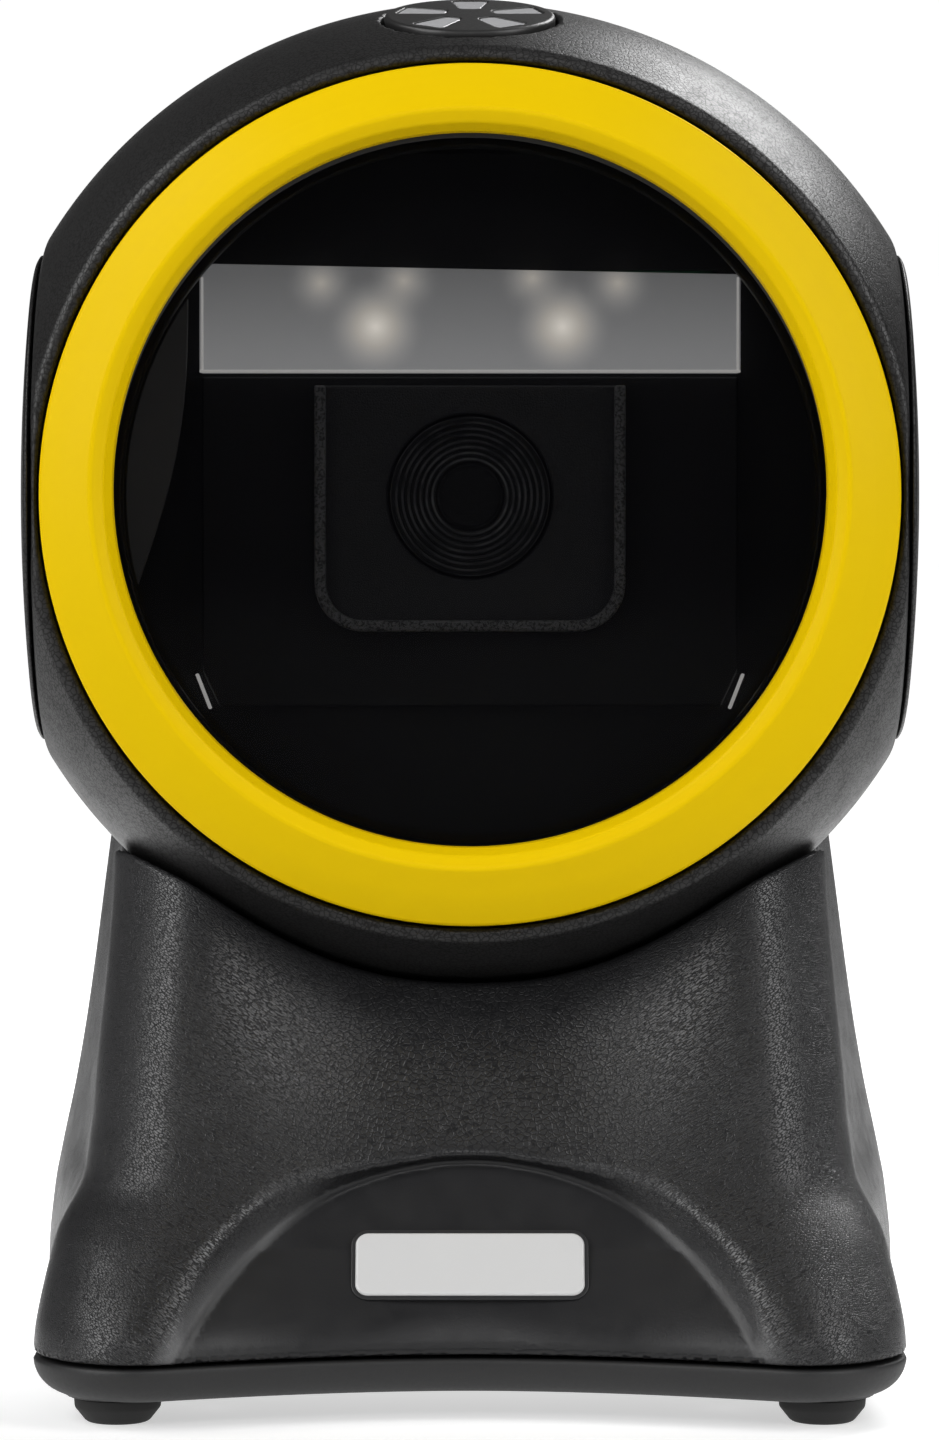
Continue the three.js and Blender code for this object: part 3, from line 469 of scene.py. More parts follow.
def remap(tree, value, low, high, from_low=0.0, from_high=1.0):
    """value moved from its own range to the range from low to high, and kept inside it."""
    inputs = {"From Min": from_low, "From Max": from_high, "To Min": low, "To Max": high}
    return add_node(tree, "ShaderNodeMapRange", {"Value": value, **inputs}).outputs["Result"]


def product(tree, *values):
    result = values[0]
    for value in values[1:]:
        result = calculate(tree, "MULTIPLY", result, value)
    return result


def mix(tree, fac, a, b):
    """The number a where fac is 0, and b where it is 1."""
    return add_node(tree, "ShaderNodeMix", {0: fac, 2: a, 3: b}, data_type="FLOAT").outputs[0]


def tint(tree, fac, dark, light):
    """The colour dark where fac is 0, and light where it is 1."""
    inputs = {0: fac, 6: (*dark, 1), 7: (*light, 1)}
    return add_node(tree, "ShaderNodeMix", inputs, data_type="RGBA").outputs[2]


def noise(tree, place, scale, detail=3.0, roughness=0.55):
    inputs = {"Vector": place, "Scale": scale, "Detail": detail, "Roughness": roughness}
    return add_node(tree, "ShaderNodeTexNoise", inputs).outputs["Fac"]


def bump(tree, height, distance, under=None):
    """The normal of a height field, on top of the normal under it."""
    inputs = {"Strength": 1.0, "Distance": distance * MM, "Height": height}
    if under is not None:
        inputs["Normal"] = under
    return add_node(tree, "ShaderNodeBump", inputs).outputs["Normal"]


def leather_height(tree, place, cell, pull=(1, 1, 1), turn=0.0):
    """Flat-topped pebbles about one cell across, with fine cracks between them."""
    laid = add_node(tree, "ShaderNodeMapping", {"Vector": place, "Rotation": (0, turn, 0)})
    pulled = calculate_vector(tree, "MULTIPLY", laid.outputs["Vector"], pull)
    warp = add_node(tree, "ShaderNodeTexNoise", {"Vector": place, "Scale": 0.7 / cell, "Detail": 2})
    shift = scale_vector(tree, warp.outputs["Color"], 0.8 * cell)
    moved = calculate_vector(tree, "ADD", pulled, shift)
    inputs = {"Vector": moved, "Scale": 1 / cell}
    pebbles = add_node(tree, "ShaderNodeTexVoronoi", inputs, feature="DISTANCE_TO_EDGE")
    return remap(tree, pebbles.outputs["Distance"], 0, 1, 0.0, 0.16)


def grained_plastic(name, color, roughness, cell, depth, shine, base=False):
    """Moulded plastic with a fine leather grain.

    On the base it is drawn out into slanting lines towards the sides, and left off in the arch.
    """
    mat, tree, shader = new_material(name, color, roughness, IOR=1.5)
    place = place_in_mm(tree)
    height = leather_height(tree, place, cell)
    if base:
        folded = calculate_vector(tree, "ABSOLUTE", place)
        lines = leather_height(
            tree, folded, GRAIN_LINES_CELL * cell, GRAIN_LINES_PULL, GRAIN_LINES_TURN
        )
        share = remap(tree, split_axes(tree, folded)["X"], 0, 1, *GRAIN_LINES_X)
        height = smooth_in_arch(tree, place, mix(tree, share, height, lines))
    coarse = bump(tree, height, depth)
    fine = bump(tree, noise(tree, place, 2.2 / cell, 3), depth * 0.5, coarse)
    patches = noise(tree, place, 0.05, 4)
    spread = noise(tree, place, 0.35, 5)
    dark = tuple(c * 0.86 for c in color)
    light = tuple(c * 1.16 for c in color)
    feed(tree, shader, {
        "Normal": fine,
        "Specular IOR Level": remap(tree, height, 0.22 * shine, 1.1 * shine),
        "Base Color": tint(tree, patches, dark, light),
        "Roughness": remap(tree, spread, roughness - 0.04, roughness + 0.05, 0.3, 0.7),
    })
    return mat


def smooth_in_arch(tree, place, height):
    """Keeps the grain off the panel inside the arch."""
    away = distance_from_axis(tree, place, ARCH_Z)
    outside = remap(tree, away, 0, 1, ARCH_R - 0.2, ARCH_R + 2.4)
    behind = remap(tree, split_axes(tree, place)["Y"], 0, 1, -24, -22)
    grained = calculate(tree, "MAXIMUM", outside, behind)
    return mix(tree, grained, 0.4, height)


def paint_arch_leg_highlight(mat):
    """A painted highlight: the bevel down the arch's legs is painted paler than the grained face
    round it, more on the left leg.
    """
    tree = mat.node_tree
    shader = tree.nodes["Principled BSDF"]
    place = place_in_mm(tree)
    away = distance_from_axis(tree, place, ARCH_Z)
    axes = split_axes(tree, place)
    bevel = product(
        tree,
        remap(tree, away, 0, 1, ARCH_R - 0.1, ARCH_R + 0.4),
        remap(tree, away, 1, 0, ARCH_R + 0.9, ARCH_R + 2.5),
        remap(tree, axes["Z"], 1, 0, 9, 22),
        remap(tree, axes["Y"], 1, 0, -28, -26),
        remap(tree, axes["X"], 1, 0.4, -10, 10),
    )
    grained = shader.inputs["Base Color"].links[0].from_socket
    # the paler colour on the bevel is a painted highlight
    inputs = {0: bevel, 6: grained, 7: (0.075, 0.075, 0.077, 1)}
    with_highlight = add_node(tree, "ShaderNodeMix", inputs, data_type="RGBA").outputs[2]
    feed(tree, shader, {"Base Color": with_highlight})


def smooth_plastic(name, color, roughness, variation=0.05, ripple=0.004, scale=0.6, **sockets):
    """Smooth moulded plastic, with slight flow marks, fine scuffs and colour drift."""
    mat, tree, shader = new_material(name, color, roughness, **sockets)
    place = place_in_mm(tree)
    drift = noise(tree, place, 0.06, 3)
    scuffs = noise(tree, place, scale * 4, 6, 0.7)
    dark = tuple(c * (1 - variation) for c in color)
    light = tuple(min(1, c * (1 + variation)) for c in color)
    feed(tree, shader, {
        "Base Color": tint(tree, drift, dark, light),
        "Roughness": remap(tree, scuffs, roughness - 0.04, roughness + 0.07, 0.3, 0.75),
        "Normal": bump(tree, noise(tree, place, scale, 3), ripple),
    })
    return mat


def glowing_plastic(name, color, glow):
    """Clear or pale plastic that glows a little. On the diffuser's clear edges the glow is the
    emitters' light carried through them; on the spring clips it is a painted glint, and on the
    crescent beside the optics a painted reflection.
    """
    sockets = {"Emission_Color": (1, 0.98, 0.95, 1), "Emission_Strength": glow}
    return smooth_plastic(name, color, 0.35, 0.08, 0.004, 0.8, **sockets)


def brushed_metal(name, color, roughness, scratches=0.01):
    """Plated or rolled steel, with fine scratches and uneven gloss."""
    mat, tree, shader = new_material(name, color, roughness, Metallic=1.0)
    drawn = calculate_vector(tree, "MULTIPLY", place_in_mm(tree), (0.4, 4.0, 4.0))
    streaks = noise(tree, drawn, 2.0, 5, 0.7)
    feed(tree, shader, {
        "Roughness": remap(tree, streaks, roughness - 0.08, roughness + 0.1, 0.3, 0.7),
        "Normal": bump(tree, streaks, scratches),
    })
    return mat


def board_material():
    """A circuit board: green solder mask over copper tracks."""
    mat, tree, shader = new_material("circuit_board", (0.01, 0.11, 0.045), 0.35)
    inputs = {
        "Vector": place_in_mm(tree),
        "Scale": 0.35,
        "Color1": (0.008, 0.09, 0.035, 1),
        "Color2": (0.012, 0.13, 0.05, 1),
        "Mortar": (0.03, 0.2, 0.08, 1),
    }
    tracks = add_node(tree, "ShaderNodeTexBrick", inputs).outputs
    feed(tree, shader, {"Base Color": tracks["Color"], "Normal": bump(tree, tracks["Fac"], 0.03)})
    return mat


def window_material():
    """Smoke-tinted acrylic: glossy in front, and dark but clear enough to see the optics."""
    sockets = {"IOR": 1.49, "Alpha": 0.5, "Specular_IOR_Level": 0.06}
    mat, tree, shader = new_material("window_acrylic", (0.001, 0.001, 0.0015), 0.03, **sockets)
    film = noise(tree, place_in_mm(tree), 0.08, 4)
    feed(tree, shader, {"Roughness": remap(tree, film, 0.02, 0.07, 0.3, 0.7)})
    return mat


def paint(obj, mat):
    obj.data.materials.clear()
    obj.data.materials.append(mat)


HOUSING_COLOR = (0.0105, 0.0102, 0.0102)
BASE_COLOR = (0.0095, 0.0095, 0.0103)
M = {
    "housing": grained_plastic("housing_grain", HOUSING_COLOR, 0.4, 0.55, 0.012, 0.38),
    "base": grained_plastic("base_grain", BASE_COLOR, 0.34, 0.58, 0.026, 0.55, base=True),
    "base_smooth": smooth_plastic("base_smooth", (0.0055, 0.0055, 0.006), 0.56),
    "barrel": smooth_plastic("barrel_black", (0.012, 0.012, 0.013), 0.35),
    # glows: the emitters' light on the diffuser's clear edges, a painted glint on the clips
    "glowing_edge_and_clip_glint": glowing_plastic("glowing_edge_and_clip_glint", (0.75, 0.75, 0.74), 0.9),
    # a faintly glowing grey crescent: a painted reflection in the window
    "crescent_reflection": glowing_plastic("painted_reflection_grey", (0.1, 0.098, 0.096), 0.012),
    "lens": smooth_plastic("lens_coated", (0.02, 0.025, 0.05), 0.06),
    "button": smooth_plastic("button_plastic", HOUSING_COLOR, 0.4),
    "yellow": smooth_plastic(
        "ring_yellow", (0.69, 0.465, 0.001), 0.36, 0.02, 0.002, 0.3,
        IOR=1.45, Specular_IOR_Level=0.05,
    ),
    "window": window_material(),
    "rubber": smooth_plastic("rubber", (0.007, 0.007, 0.007), 0.75, 0.15, 0.01, 3.0),
    "inner": smooth_plastic("inner_black", (0.004, 0.004, 0.0045), 0.6, 0.1, 0.01, 1.0),
    "plate_metal": smooth_plastic("name_plate_silver", (0.52, 0.52, 0.52), 0.2, 0.02, 0.0004, 0.2),
    "petal": smooth_plastic("petal_white", (0.4, 0.4, 0.41), 0.22, 0.03, 0.0005, 0.3),
    "steel": brushed_metal("plated_steel", (0.46, 0.47, 0.48), 0.35),
    "ballast": brushed_metal("ballast_iron", (0.12, 0.12, 0.125), 0.6, 0.05),
    "board": board_material(),
}
# paints a highlight onto the bevel of the arch's legs
paint_arch_leg_highlight(M["base"])


# ---------------- head housings
def button_frame(x, y, z):
    """Coordinates along the button's own axis, from head coordinates."""
    c, s = math.cos(BUTTON_TILT), math.sin(BUTTON_TILT)
    return x, y * c + z * s, z * c - y * s


def head_outside(x, y, z):
    """The head's outside. From here to head_shell, z is taken from the tilt axis."""
    ball = np.sqrt(x * x + y * y + z * z) - HEAD_R
    f = round_cut(ball, np.abs(x) - SIDE_X, 0.5)
    r, edge_y = BACK_EDGE
    back = y - BACK_DOME_Y + (BACK_DOME_Y - edge_y) * (x * x + z * z) / (r * r)
    f = round_cut(f, back, 2.5)
    return round_cut(f, RIM_Y - y, 0.55)


def head_cavity(x, y, z):
    ball = np.sqrt(x * x + y * y + z * z) - (HEAD_R - WALL)
    sides = np.abs(x) - (SIDE_X - WALL)
    ends = np.maximum(LEDGE_Y + LEDGE_WALL - y, y - BACK_EDGE[1] + WALL)
    return np.maximum(np.maximum(ball, sides), ends)


def arm_slot(x, y, z):
    """The slot in the head's underside that clears the tilt arm."""
    middle, half = ARM_SLOT_ANGLE
    r = np.hypot(y, z)
    angle = np.degrees(np.arctan2(y, -z))
    wide = (np.abs(angle - middle) - half) * math.radians(1) * r
    return np.maximum(np.maximum(np.abs(x) - ARM_SLOT_X, wide), ARM_SLOT_R - r)


def head_shell(x, y, z):
    """Both housings in one, with openings for the window, the button, the arm and the screws."""
    outside = head_outside(x, y, z)
    r = np.hypot(x, z)
    f = carve(outside, np.maximum(r - OPENING_R, y - LEDGE_Y), 0.4)
    f = carve(f, np.maximum(r - LEDGE_IN_R, y - LEDGE_Y - LEDGE_DEPTH), 0.3)
    f = np.maximum(f, -head_cavity(x, y, z))
    bx, by, bz = button_frame(x, y, z)
    f = carve(f, np.maximum(np.hypot(bx, by) - BUTTON_HOLE_R, 46 - bz), 0.45)
    f = carve(f, arm_slot(x, y, z), 0.4)
    screw = np.hypot(np.abs(x) - HEAD_SCREW_XZ, np.abs(z) - HEAD_SCREW_XZ)
    boss = np.maximum(np.maximum(screw - HEAD_BOSS_R, 2 - y), outside)
    f = np.minimum(f, boss)
    f = carve(f, np.maximum(screw - HEAD_SEAT_R, HEAD_SEAT_Y - y), 0.35)
    return np.maximum(f, -np.maximum(screw - HEAD_HOLE_R, 3 - y))


def front_housing(x, y, z):
    return round_cut(head_shell(x, y, z - HEAD_Z), y - SPLIT_Y, 0.25)


def vent_slots(x, y, z):
    """Five slots in the back, the middle one the widest."""
    row = np.clip(np.round(z / VENT_PITCH), -2, 2)
    half = VENT_HALF - VENT_TAPER * np.abs(row) - VENT_R
    across = np.maximum(np.abs(x) - half, 0)
    return np.maximum(np.hypot(across, z - row * VENT_PITCH) - VENT_R, VENT_Y - y)


def rear_housing(x, y, z):
    z = z - HEAD_Z
    f = carve(head_shell(x, y, z), vent_slots(x, y, z), 0.3)
    return round_cut(f, SPLIT_Y + SPLIT_GAP - y, 0.25)


def add_piece(obj, body, slot, material, *nodes):
    """A finished piece: it rides on its body, and stands for the CAD nodes given."""
    paint(obj, material)
    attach(obj, body)
    if nodes:
        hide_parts(*nodes)


def add_moulded(name, f, margin, step, body, slot, material, node):
    """The surface of f, meshed in the box of its CAD node with a margin round it."""
    low, high = node_box(node)
    add_piece(moulded(name, f, low - margin, high + margin, step), body, slot, material, node)


def add_turned(name, profile, segments, slot, material, node, lift=None):
    """A profile turned about the head's own axis from front to back."""
    obj = turned(name, profile, "Y", segments, (0, 0, HEAD_Z), lift)
    add_piece(obj, "head", slot, material, node)


def make_housings():
    for name, f, node in (
        ("head_front", front_housing, "front_housing"),
        ("head_back", rear_housing, "rear_housing"),
    ):
        add_moulded(name, f, 1, grid_step(0.5), "head", "housing", M["housing"], node)
    for side, word in ((-1, "left"), (1, "right")):
        make_side_cover(side, word)


def make_side_cover(side, word):
    """A domed round cover that closes the side of the ball."""
    seat_x, spigot_x = SIDE_X + SIDE_SEAT, SIDE_X - 1
    rim_r = math.sqrt(HEAD_R**2 - seat_x**2) - SIDE_GAP
    edge_r = math.sqrt(HEAD_R**2 - SIDE_COVER_X**2) - SIDE_GAP
    outline = [(0, spigot_x, 0), (SIDE_SPIGOT_R, spigot_x, 0.2), (SIDE_SPIGOT_R, seat_x, 0)]
    outline += [(rim_r, seat_x, 0.15), (edge_r, SIDE_COVER_X, 0.35)]
    profile = list(rounded_profile(outline + [(0, SIDE_DOME_X, 0)]))[:-1]
    last_r, last_x = profile[-1]
    for t in np.linspace(0.04, 1, 24):
        rise = (SIDE_DOME_X - last_x) * (1 - (1 - t) ** 2)
        profile.append(np.array((last_r * (1 - t), last_x + rise)))
    profile = np.array(profile)
    profile[:, 1] *= side
    obj = turned(f"side_cover_{word}", profile, "X", 128, (0, 0, HEAD_Z))
    add_piece(obj, "head", "housing", M["housing"], f"side_cap_{word}")


# ---------------- ring, gasket, window
def make_ring():
    """The ring's outer edge is centred on the head. Its ridge and inner edge sit higher."""
    corners = [
        (38.4, -21.3, 0.0), (43.65, -21.3, 0.2), (43.65, -26.75, 0.7), (41.0, -28.25, 6.0),
        (38.3, -29.55, 0.8), (36.95, -28.9, 0.8), (36.2, -27.2, 0.5), (36.2, -24.4, 0.0),
        (38.4, -24.4, 0.0),
    ]
    profile = rounded_profile(corners, 7)
    lift = RING_LIFT * (1 - smoothstep(profile[:, 0], *RING_LIFT_R))
    add_turned("bezel", profile, 256, "yellow_ring", M["yellow"], "bezel_ring", lift)


def make_window():
    gasket = rounded_profile(
        [(36.3, -24.1, 0.12), (37.8, -24.1, 0.1), (37.8, -23.6, 0.1), (36.3, -23.6, 0.12)], 3
    )
    add_turned("gasket", gasket, 192, "rubber", M["rubber"], "window_gasket")
    pane = rounded_profile(
        [(0, -23.3, 0), (37.8, -23.3, 0.2), (37.8, -21.3, 0.2), (0, -21.3, 0)], 3
    )
    add_turned("window_pane", pane, 192, "window", M["window"], "scan_window")


# ---------------- optics
# The light emitters' glows: x and z from the head's centre, then radius and strength.
LARGE_GLOWS = [(-9.7, 17.4), (9.5, 17.4)]
SMALL_GLOWS = [(-15.3, 21.9), (-6.8, 22.1), (6.4, 22.4), (15.2, 21.9)]
GLOWS = [(place, 5.2, 1.7) for place in LARGE_GLOWS] + [(place, 3.8, 0.85) for place in SMALL_GLOWS]
STRIP_DEPTH = 0.4  # of the bright edge strips in front of the diffuser


def diffuser_material():
    """Frosted plastic that glows where the light emitters stand behind it."""
    mat, tree, shader = new_material("diffuser_frosted", (0.28, 0.28, 0.285), 0.45)
    place = place_in_mm(tree)
    total = 0.0
    for (x, z), radius, power in GLOWS:
        near = remap(tree, distance_from_axis(tree, place, z + HEAD_Z, x), 1, 0, 0, radius)
        spot = calculate(tree, "MULTIPLY", calculate(tree, "POWER", near, 1.8), power)
        total = calculate(tree, "ADD", total, spot)
    fade = remap(tree, split_axes(tree, place)["Z"], 0.62, 0.34, HEAD_Z + 14, HEAD_Z + 23)
    warmth = remap(tree, total, 0, 1, 0, 0.7)
    feed(tree, shader, {
        "Emission Color": tint(tree, warmth, (0.98, 0.985, 1.0), (1.0, 0.94, 0.85)),
        "Emission Strength": calculate(tree, "ADD", total, fade),
        "Normal": bump(tree, noise(tree, place, 4.0, 3), 0.01),
    })
    return mat


def make_optics():
    make_diffuser()
    make_clips()
    make_painted_reflection()
    low, high = node_box("optics_panel")
    cut, slope = 3.6, 1.7  # the lower corners are cut off, this high and this wide
    outline = [
        (low[0], high[2]), (low[0], low[2] + cut), (low[0] + slope, low[2]),
        (high[0] - slope, low[2]), (high[0], low[2] + cut), (high[0], high[2]),
    ]
    panel = slab("dark_panel", outline, (low[1], high[1]), 0.2)
    add_piece(panel, "head", "inner_black", M["inner"], "optics_panel")


def make_diffuser():
    """The diffuser's top edge slopes to the right, and bright strips edge its foot and ends."""
    low, high = node_box("light_diffuser")
    drop = 1.1
    outline = [
        (low[0], low[2]), (high[0], low[2]), (high[0], high[2] - drop), (low[0], high[2]),
    ]
    bar = slab("diffuser_bar", outline, (low[1], high[1]), 0.2)
    add_piece(bar, "head", "diffuser", diffuser_material(), "light_diffuser")
    front, lip_z = (low[1], low[1] + STRIP_DEPTH), low[2] + 0.3
    lip = slab("diffuser_lip", box_outline(low[0], high[0], low[2], lip_z), front, 0.08)
    lip.location.y = -0.15 * MM
    add_piece(lip, "head", "diffuser", M["glowing_edge_and_clip_glint"])
    for side in (-1, 1):
        x = sorted((side * (high[0] - 0.15), side * (high[0] - 0.4)))
        end = slab("diffuser_end", box_outline(*x, lip_z, high[2] - 1.4), front, 0.06)
        end.location.y = -0.1 * MM
        add_piece(end, "head", "diffuser", M["glowing_edge_and_clip_glint"])


def make_clips():
    """Spring clips at the panel's lower corners, which lean outwards. They are bright because they
    glow, as a painted glint.
    """
    for side, lean in (("left", 0.7), ("right", -0.7)):
        low, high = node_box(f"panel_clip_{side}")
        middle, half = (low[0] + high[0]) / 2, 0.13
        outline = [
            (middle - half + lean, low[2]), (middle + half + lean, low[2]),
            (middle + half - lean, high[2]), (middle - half - lean, high[2]),
        ]
        clip = slab(f"clip_{side}", outline, (low[1], high[1]), 0.08)
        # the clips glow as a painted glint
        add_piece(clip, "head", "steel", M["glowing_edge_and_clip_glint"], f"panel_clip_{side}")


def make_painted_reflection():
    """A curved pale sheet beside the optics, seen faintly through the window: a painted reflection
    in the window.
    """
    r, bulge = 35.3, (1.6, 0)
    angles = np.radians(np.linspace(145, 195, 30))
    rim = np.stack([r * np.cos(angles), r * np.sin(angles) + HEAD_Z], axis=1)
    along = np.linspace(1, 0, 12)[1:-1, None]
    chord = rim[0] + (rim[-1] - rim[0]) * along + bulge * np.sin(math.pi * along)
    # the crescent stands in for a reflection: a painted reflection
    wall = slab("painted_reflection_crescent", [*rim, *chord], (-18.4, -17.6), 0.1)
    add_piece(wall, "head", "inner_black", M["crescent_reflection"])


def make_engine():
    """The camera engine: a raised cover, a stepped barrel and its lens."""
    low, high = node_box("engine_shroud")
    wide, bottom, top = high[0], low[2] - HEAD_Z, high[2] - HEAD_Z
    front, back = low[1], high[1]
    corner_r, rim, well_depth, hole_r = 5, 1.15, 1.1, 8.5

    def shroud(x, y, z):
        z = z - HEAD_Z
        across = np.abs(x) - (wide - corner_r)
        down = (bottom + corner_r) - z
        corner = np.hypot(np.maximum(across, 0), np.maximum(down, 0))
        sides = corner + np.minimum(np.maximum(across, down), 0) - corner_r
        f = round_cut(np.maximum(sides, z - top), front - y, 0.35)
        f = np.maximum(f, y - back)
        f = carve(f, np.maximum(sides + rim, y - front - well_depth), 0.25)
        return carve(f, np.hypot(x, z) - hole_r, 0.15)

    step, material = grid_step(0.22), shroud_material(front)
    add_moulded("engine_cover", shroud, 0.5, step, "head", "inner_black", material, "engine_shroud")
    make_barrel()
    make_lens()


def shroud_material(front):
    """Grained black plastic whose front rim is paler, in speckled patches."""
    mat = grained_plastic("engine_grain", (0.05, 0.05, 0.052), 0.5, 0.3, 0.03, 0.5)
    tree = mat.node_tree
    place = place_in_mm(tree)
    # the front rim is made paler in speckled patches
    rim = remap(tree, split_axes(tree, place)["Y"], 1, 0, front + 0.25, front + 0.8)
    rim_speckle = remap(tree, noise(tree, place, 3.4, 4), 0.05, 1.7, 0.42, 0.62)
    speckled_rim = product(tree, rim, rim_speckle)
    color = tint(tree, speckled_rim, (0.045, 0.045, 0.047), (0.26, 0.26, 0.27))
    feed(tree, tree.nodes["Principled BSDF"], {"Base Color": color})
    return mat


# pitch of the barrel's painted highlight rings
BARREL_RING_PITCH = 0.62
BARREL_STEPS = 10
BARREL_R, BARREL_RIM, APERTURE_R = 8.2, 0.7, 1.0


def barrel_material():
    """Black plastic with thin lighter rings painted on as painted highlights of its fine steps, and
    a painted glint round the aperture.
    """
    mat, tree, shader = new_material("barrel_steps", (0.01, 0.01, 0.01), 0.4)
    place = place_in_mm(tree)
    away = distance_from_axis(tree, place, HEAD_Z)
    turns = calculate(tree, "MULTIPLY", away, 2 * math.pi / BARREL_RING_PITCH)
    # thin rings painted lighter: painted highlights
    edge = remap(tree, calculate(tree, "SINE", turns), 0, 1, 0.1, 0.9)
    patchy = remap(tree, noise(tree, place, 0.35, 2), 0.2, 1, 0.35, 0.6)
    strength = product(tree, patchy, remap(tree, away, 1.0, 0.28, 0.6, 7))
    # a painted glint round the aperture
    aperture_glint = remap(tree, away, 0.9, 0.0, 1.1, 1.7)
    painted_glints = calculate(tree, "MULTIPLY_ADD", edge, strength, aperture_glint)
    color = tint(tree, painted_glints, (0.006, 0.006, 0.007), (0.42, 0.42, 0.43))
    feed(tree, shader, {"Base Color": color})
    return mat


def make_barrel():
    """A funnel of fine concentric steps that ends in a small aperture."""
    low, high = node_box("lens_barrel")
    front, back = low[1], high[1]
    funnel_r, rise = BARREL_R - BARREL_RIM, 0.2
    tread = (funnel_r - APERTURE_R) / BARREL_STEPS
    profile = [(APERTURE_R, back, 0), (BARREL_R, back, 0), (BARREL_R, front, 0.15)]
    for i in range(BARREL_STEPS):
        r = funnel_r - tread * i
        profile += [(r, front + rise * i, 0.08), (r, front + rise * (i + 1), 0.0)]
    rounded = rounded_profile(profile, 2)
    add_turned("barrel", rounded, 96, "inner_black", barrel_material(), "lens_barrel")


def make_lens():
    """A glass whose front bulges a little."""
    low, high = node_box("lens")
    front, back = low[1], high[1]
    glass = [(0, front, 0)]
    glass += [(2.4 * t, front + 0.35 * t * t, 0) for t in np.linspace(0.1, 1, 10)]
    glass += [(2.55, back - 0.2, 0), (2.3, back, 0), (0, back, 0)]
    add_turned("lens_glass", rounded_profile(glass), 64, "lens_glass", M["lens"], "lens")


# ---------------- top button
def button_top(r):
    """Height of the cap's nearly flat top."""
    return BUTTON_TOP - r * r / BUTTON_CROWN


def petal(x, y):
    """Distance to the nearest of the light windows, which widen outwards."""
    turn = 2 * math.pi / PETALS
    angle = np.arctan2(y, x) - math.pi / 2 + turn / 2
    angle = np.mod(angle, turn) - turn / 2
    r = np.hypot(x, y)
    u, v = r * np.cos(angle), np.abs(r * np.sin(angle))
    return round_cut(v - 0.45 - 0.19 * u, np.abs(u - PETAL_R) - PETAL_LENGTH / 2, 0.5)


def button_cap(x, y, z):
    r = np.hypot(x, y)
    f = round_cut(r - BUTTON_R, z - button_top(r), 0.4)
    f = np.maximum(f, BUTTON_FLOOR - z)
    return carve(f, petal(x, y) - 0.1, 0.12)


def light_petals(x, y, z):
    """The light windows and the disc that joins them under the cap."""
    low, high = PETAL_DISC_Z
    r = np.hypot(x, y)
    f = round_cut(petal(x, y), z - button_top(r) + PETAL_DROP, 0.18)
    f = np.maximum(f, low - z)
    disc = np.maximum(r - PETAL_DISC_R, np.maximum(low - z, z - high))
    return np.minimum(f, disc)


def make_button():
    tilt = Matrix.Translation((0, 0, HEAD_Z * MM)) @ Matrix.Rotation(BUTTON_TILT, 4, "X")
    reach = (BUTTON_R + 0.3, BUTTON_R + 0.3)
    for name, f, floor, slot, material, node in (
        ("button_cap", button_cap, 48.8, "housing", M["button"], "top_button"),
        ("button_lights", light_petals, 47.8, "light_guide", M["petal"], "light_guide"),
    ):
        low = (-reach[0], -reach[1], floor)
        obj = moulded(name, f, low, (*reach, HEAD_R + 0.7), grid_step(0.16))
        obj.data.transform(tilt)
        add_piece(obj, "button", slot, material, node)


# ---------------- base
# The base's outline at several heights: half-widths at the front and rear pillars, then y at the
# front pillars, the front's middle, the rear pillars and the back's middle.
BASE_SECTIONS = [
    (SEAM_Z, 43.8, 46.8, -46.8, -38.3, 46.8, 45.8),
    (9.5, 43.6, 46.8, -46.1, -37.6, 46.8, 45.6),
    (12.0, 43.2, 46.7, -44.5, -36.7, 46.8, 45.3),
    (15.0, 42.6, 46.4, -42.0, -35.2, 46.6, 44.9),
    (18.0, 41.9, 46.0, -39.2, -33.6, 46.3, 44.5),
    (20.0, 41.0, 45.6, -37.2, -32.5, 46.0, 44.2),
    (22.0, 39.9, 45.2, -35.3, -31.3, 45.8, 43.9),
    (27.0, 39.0, 44.1, -32.2, -27.9, 45.2, 43.2),
    (34.0, 38.5, 42.8, -29.1, -22.9, 44.3, 42.4),
    (42.6, 37.8, 41.5, -25.3, -16.6, 43.3, 41.8),
    (50.0, 37.3, 40.5, -22.0, -11.1, 42.5, 41.4),
    (RIM_Z, 37.2, 39.5, -18.7, -6.0, 41.7, 41.0),
]
BASE_Z, *BASE_ROWS = np.array(BASE_SECTIONS).T
FACE_LOW, FACE_HIGH = (-38.5, 8.5), (-27.2, 25.1)  # y and z of the flat face inside the arch
FACE_SLOPE = (FACE_HIGH[0] - FACE_LOW[0]) / (FACE_HIGH[1] - FACE_LOW[1])
# Below the name plate the face steepens, so that it runs out just above the seam.
PANEL_Z, PANEL_Y = (SEAM_Z, 10.5, 15.2, 25.1), (-38.55, -36.85, -33.94, -27.2)


def section(z):
    """The base's six measures at height z, in the order of BASE_SECTIONS."""
    return [smooth_curve(BASE_Z, row, z) for row in BASE_ROWS]


def face_plane(z):
    """y of the flat face inside the arch."""
    return FACE_LOW[0] + (z - FACE_LOW[1]) * FACE_SLOPE


def base_front(ax, z):
    """y of the base's front: a shallow V at the toes, and a hollow between the pillars above."""
    f, _, y_pillar, y_front, _, _ = section(z)
    pillars = smoothstep(z, *TOE_Z)
    t = ax / (0.76 * f)
    toes = (t * t + 0.002) ** 0.9
    over = toes - 1
    toes = toes - (over + np.sqrt(over * over + 0.01)) / 2
    hollow = smoothstep(ax / f, 0.12, 0.82)
    forward = (1 - pillars) * toes + pillars * hollow
    return y_front + forward * (y_pillar - y_front)


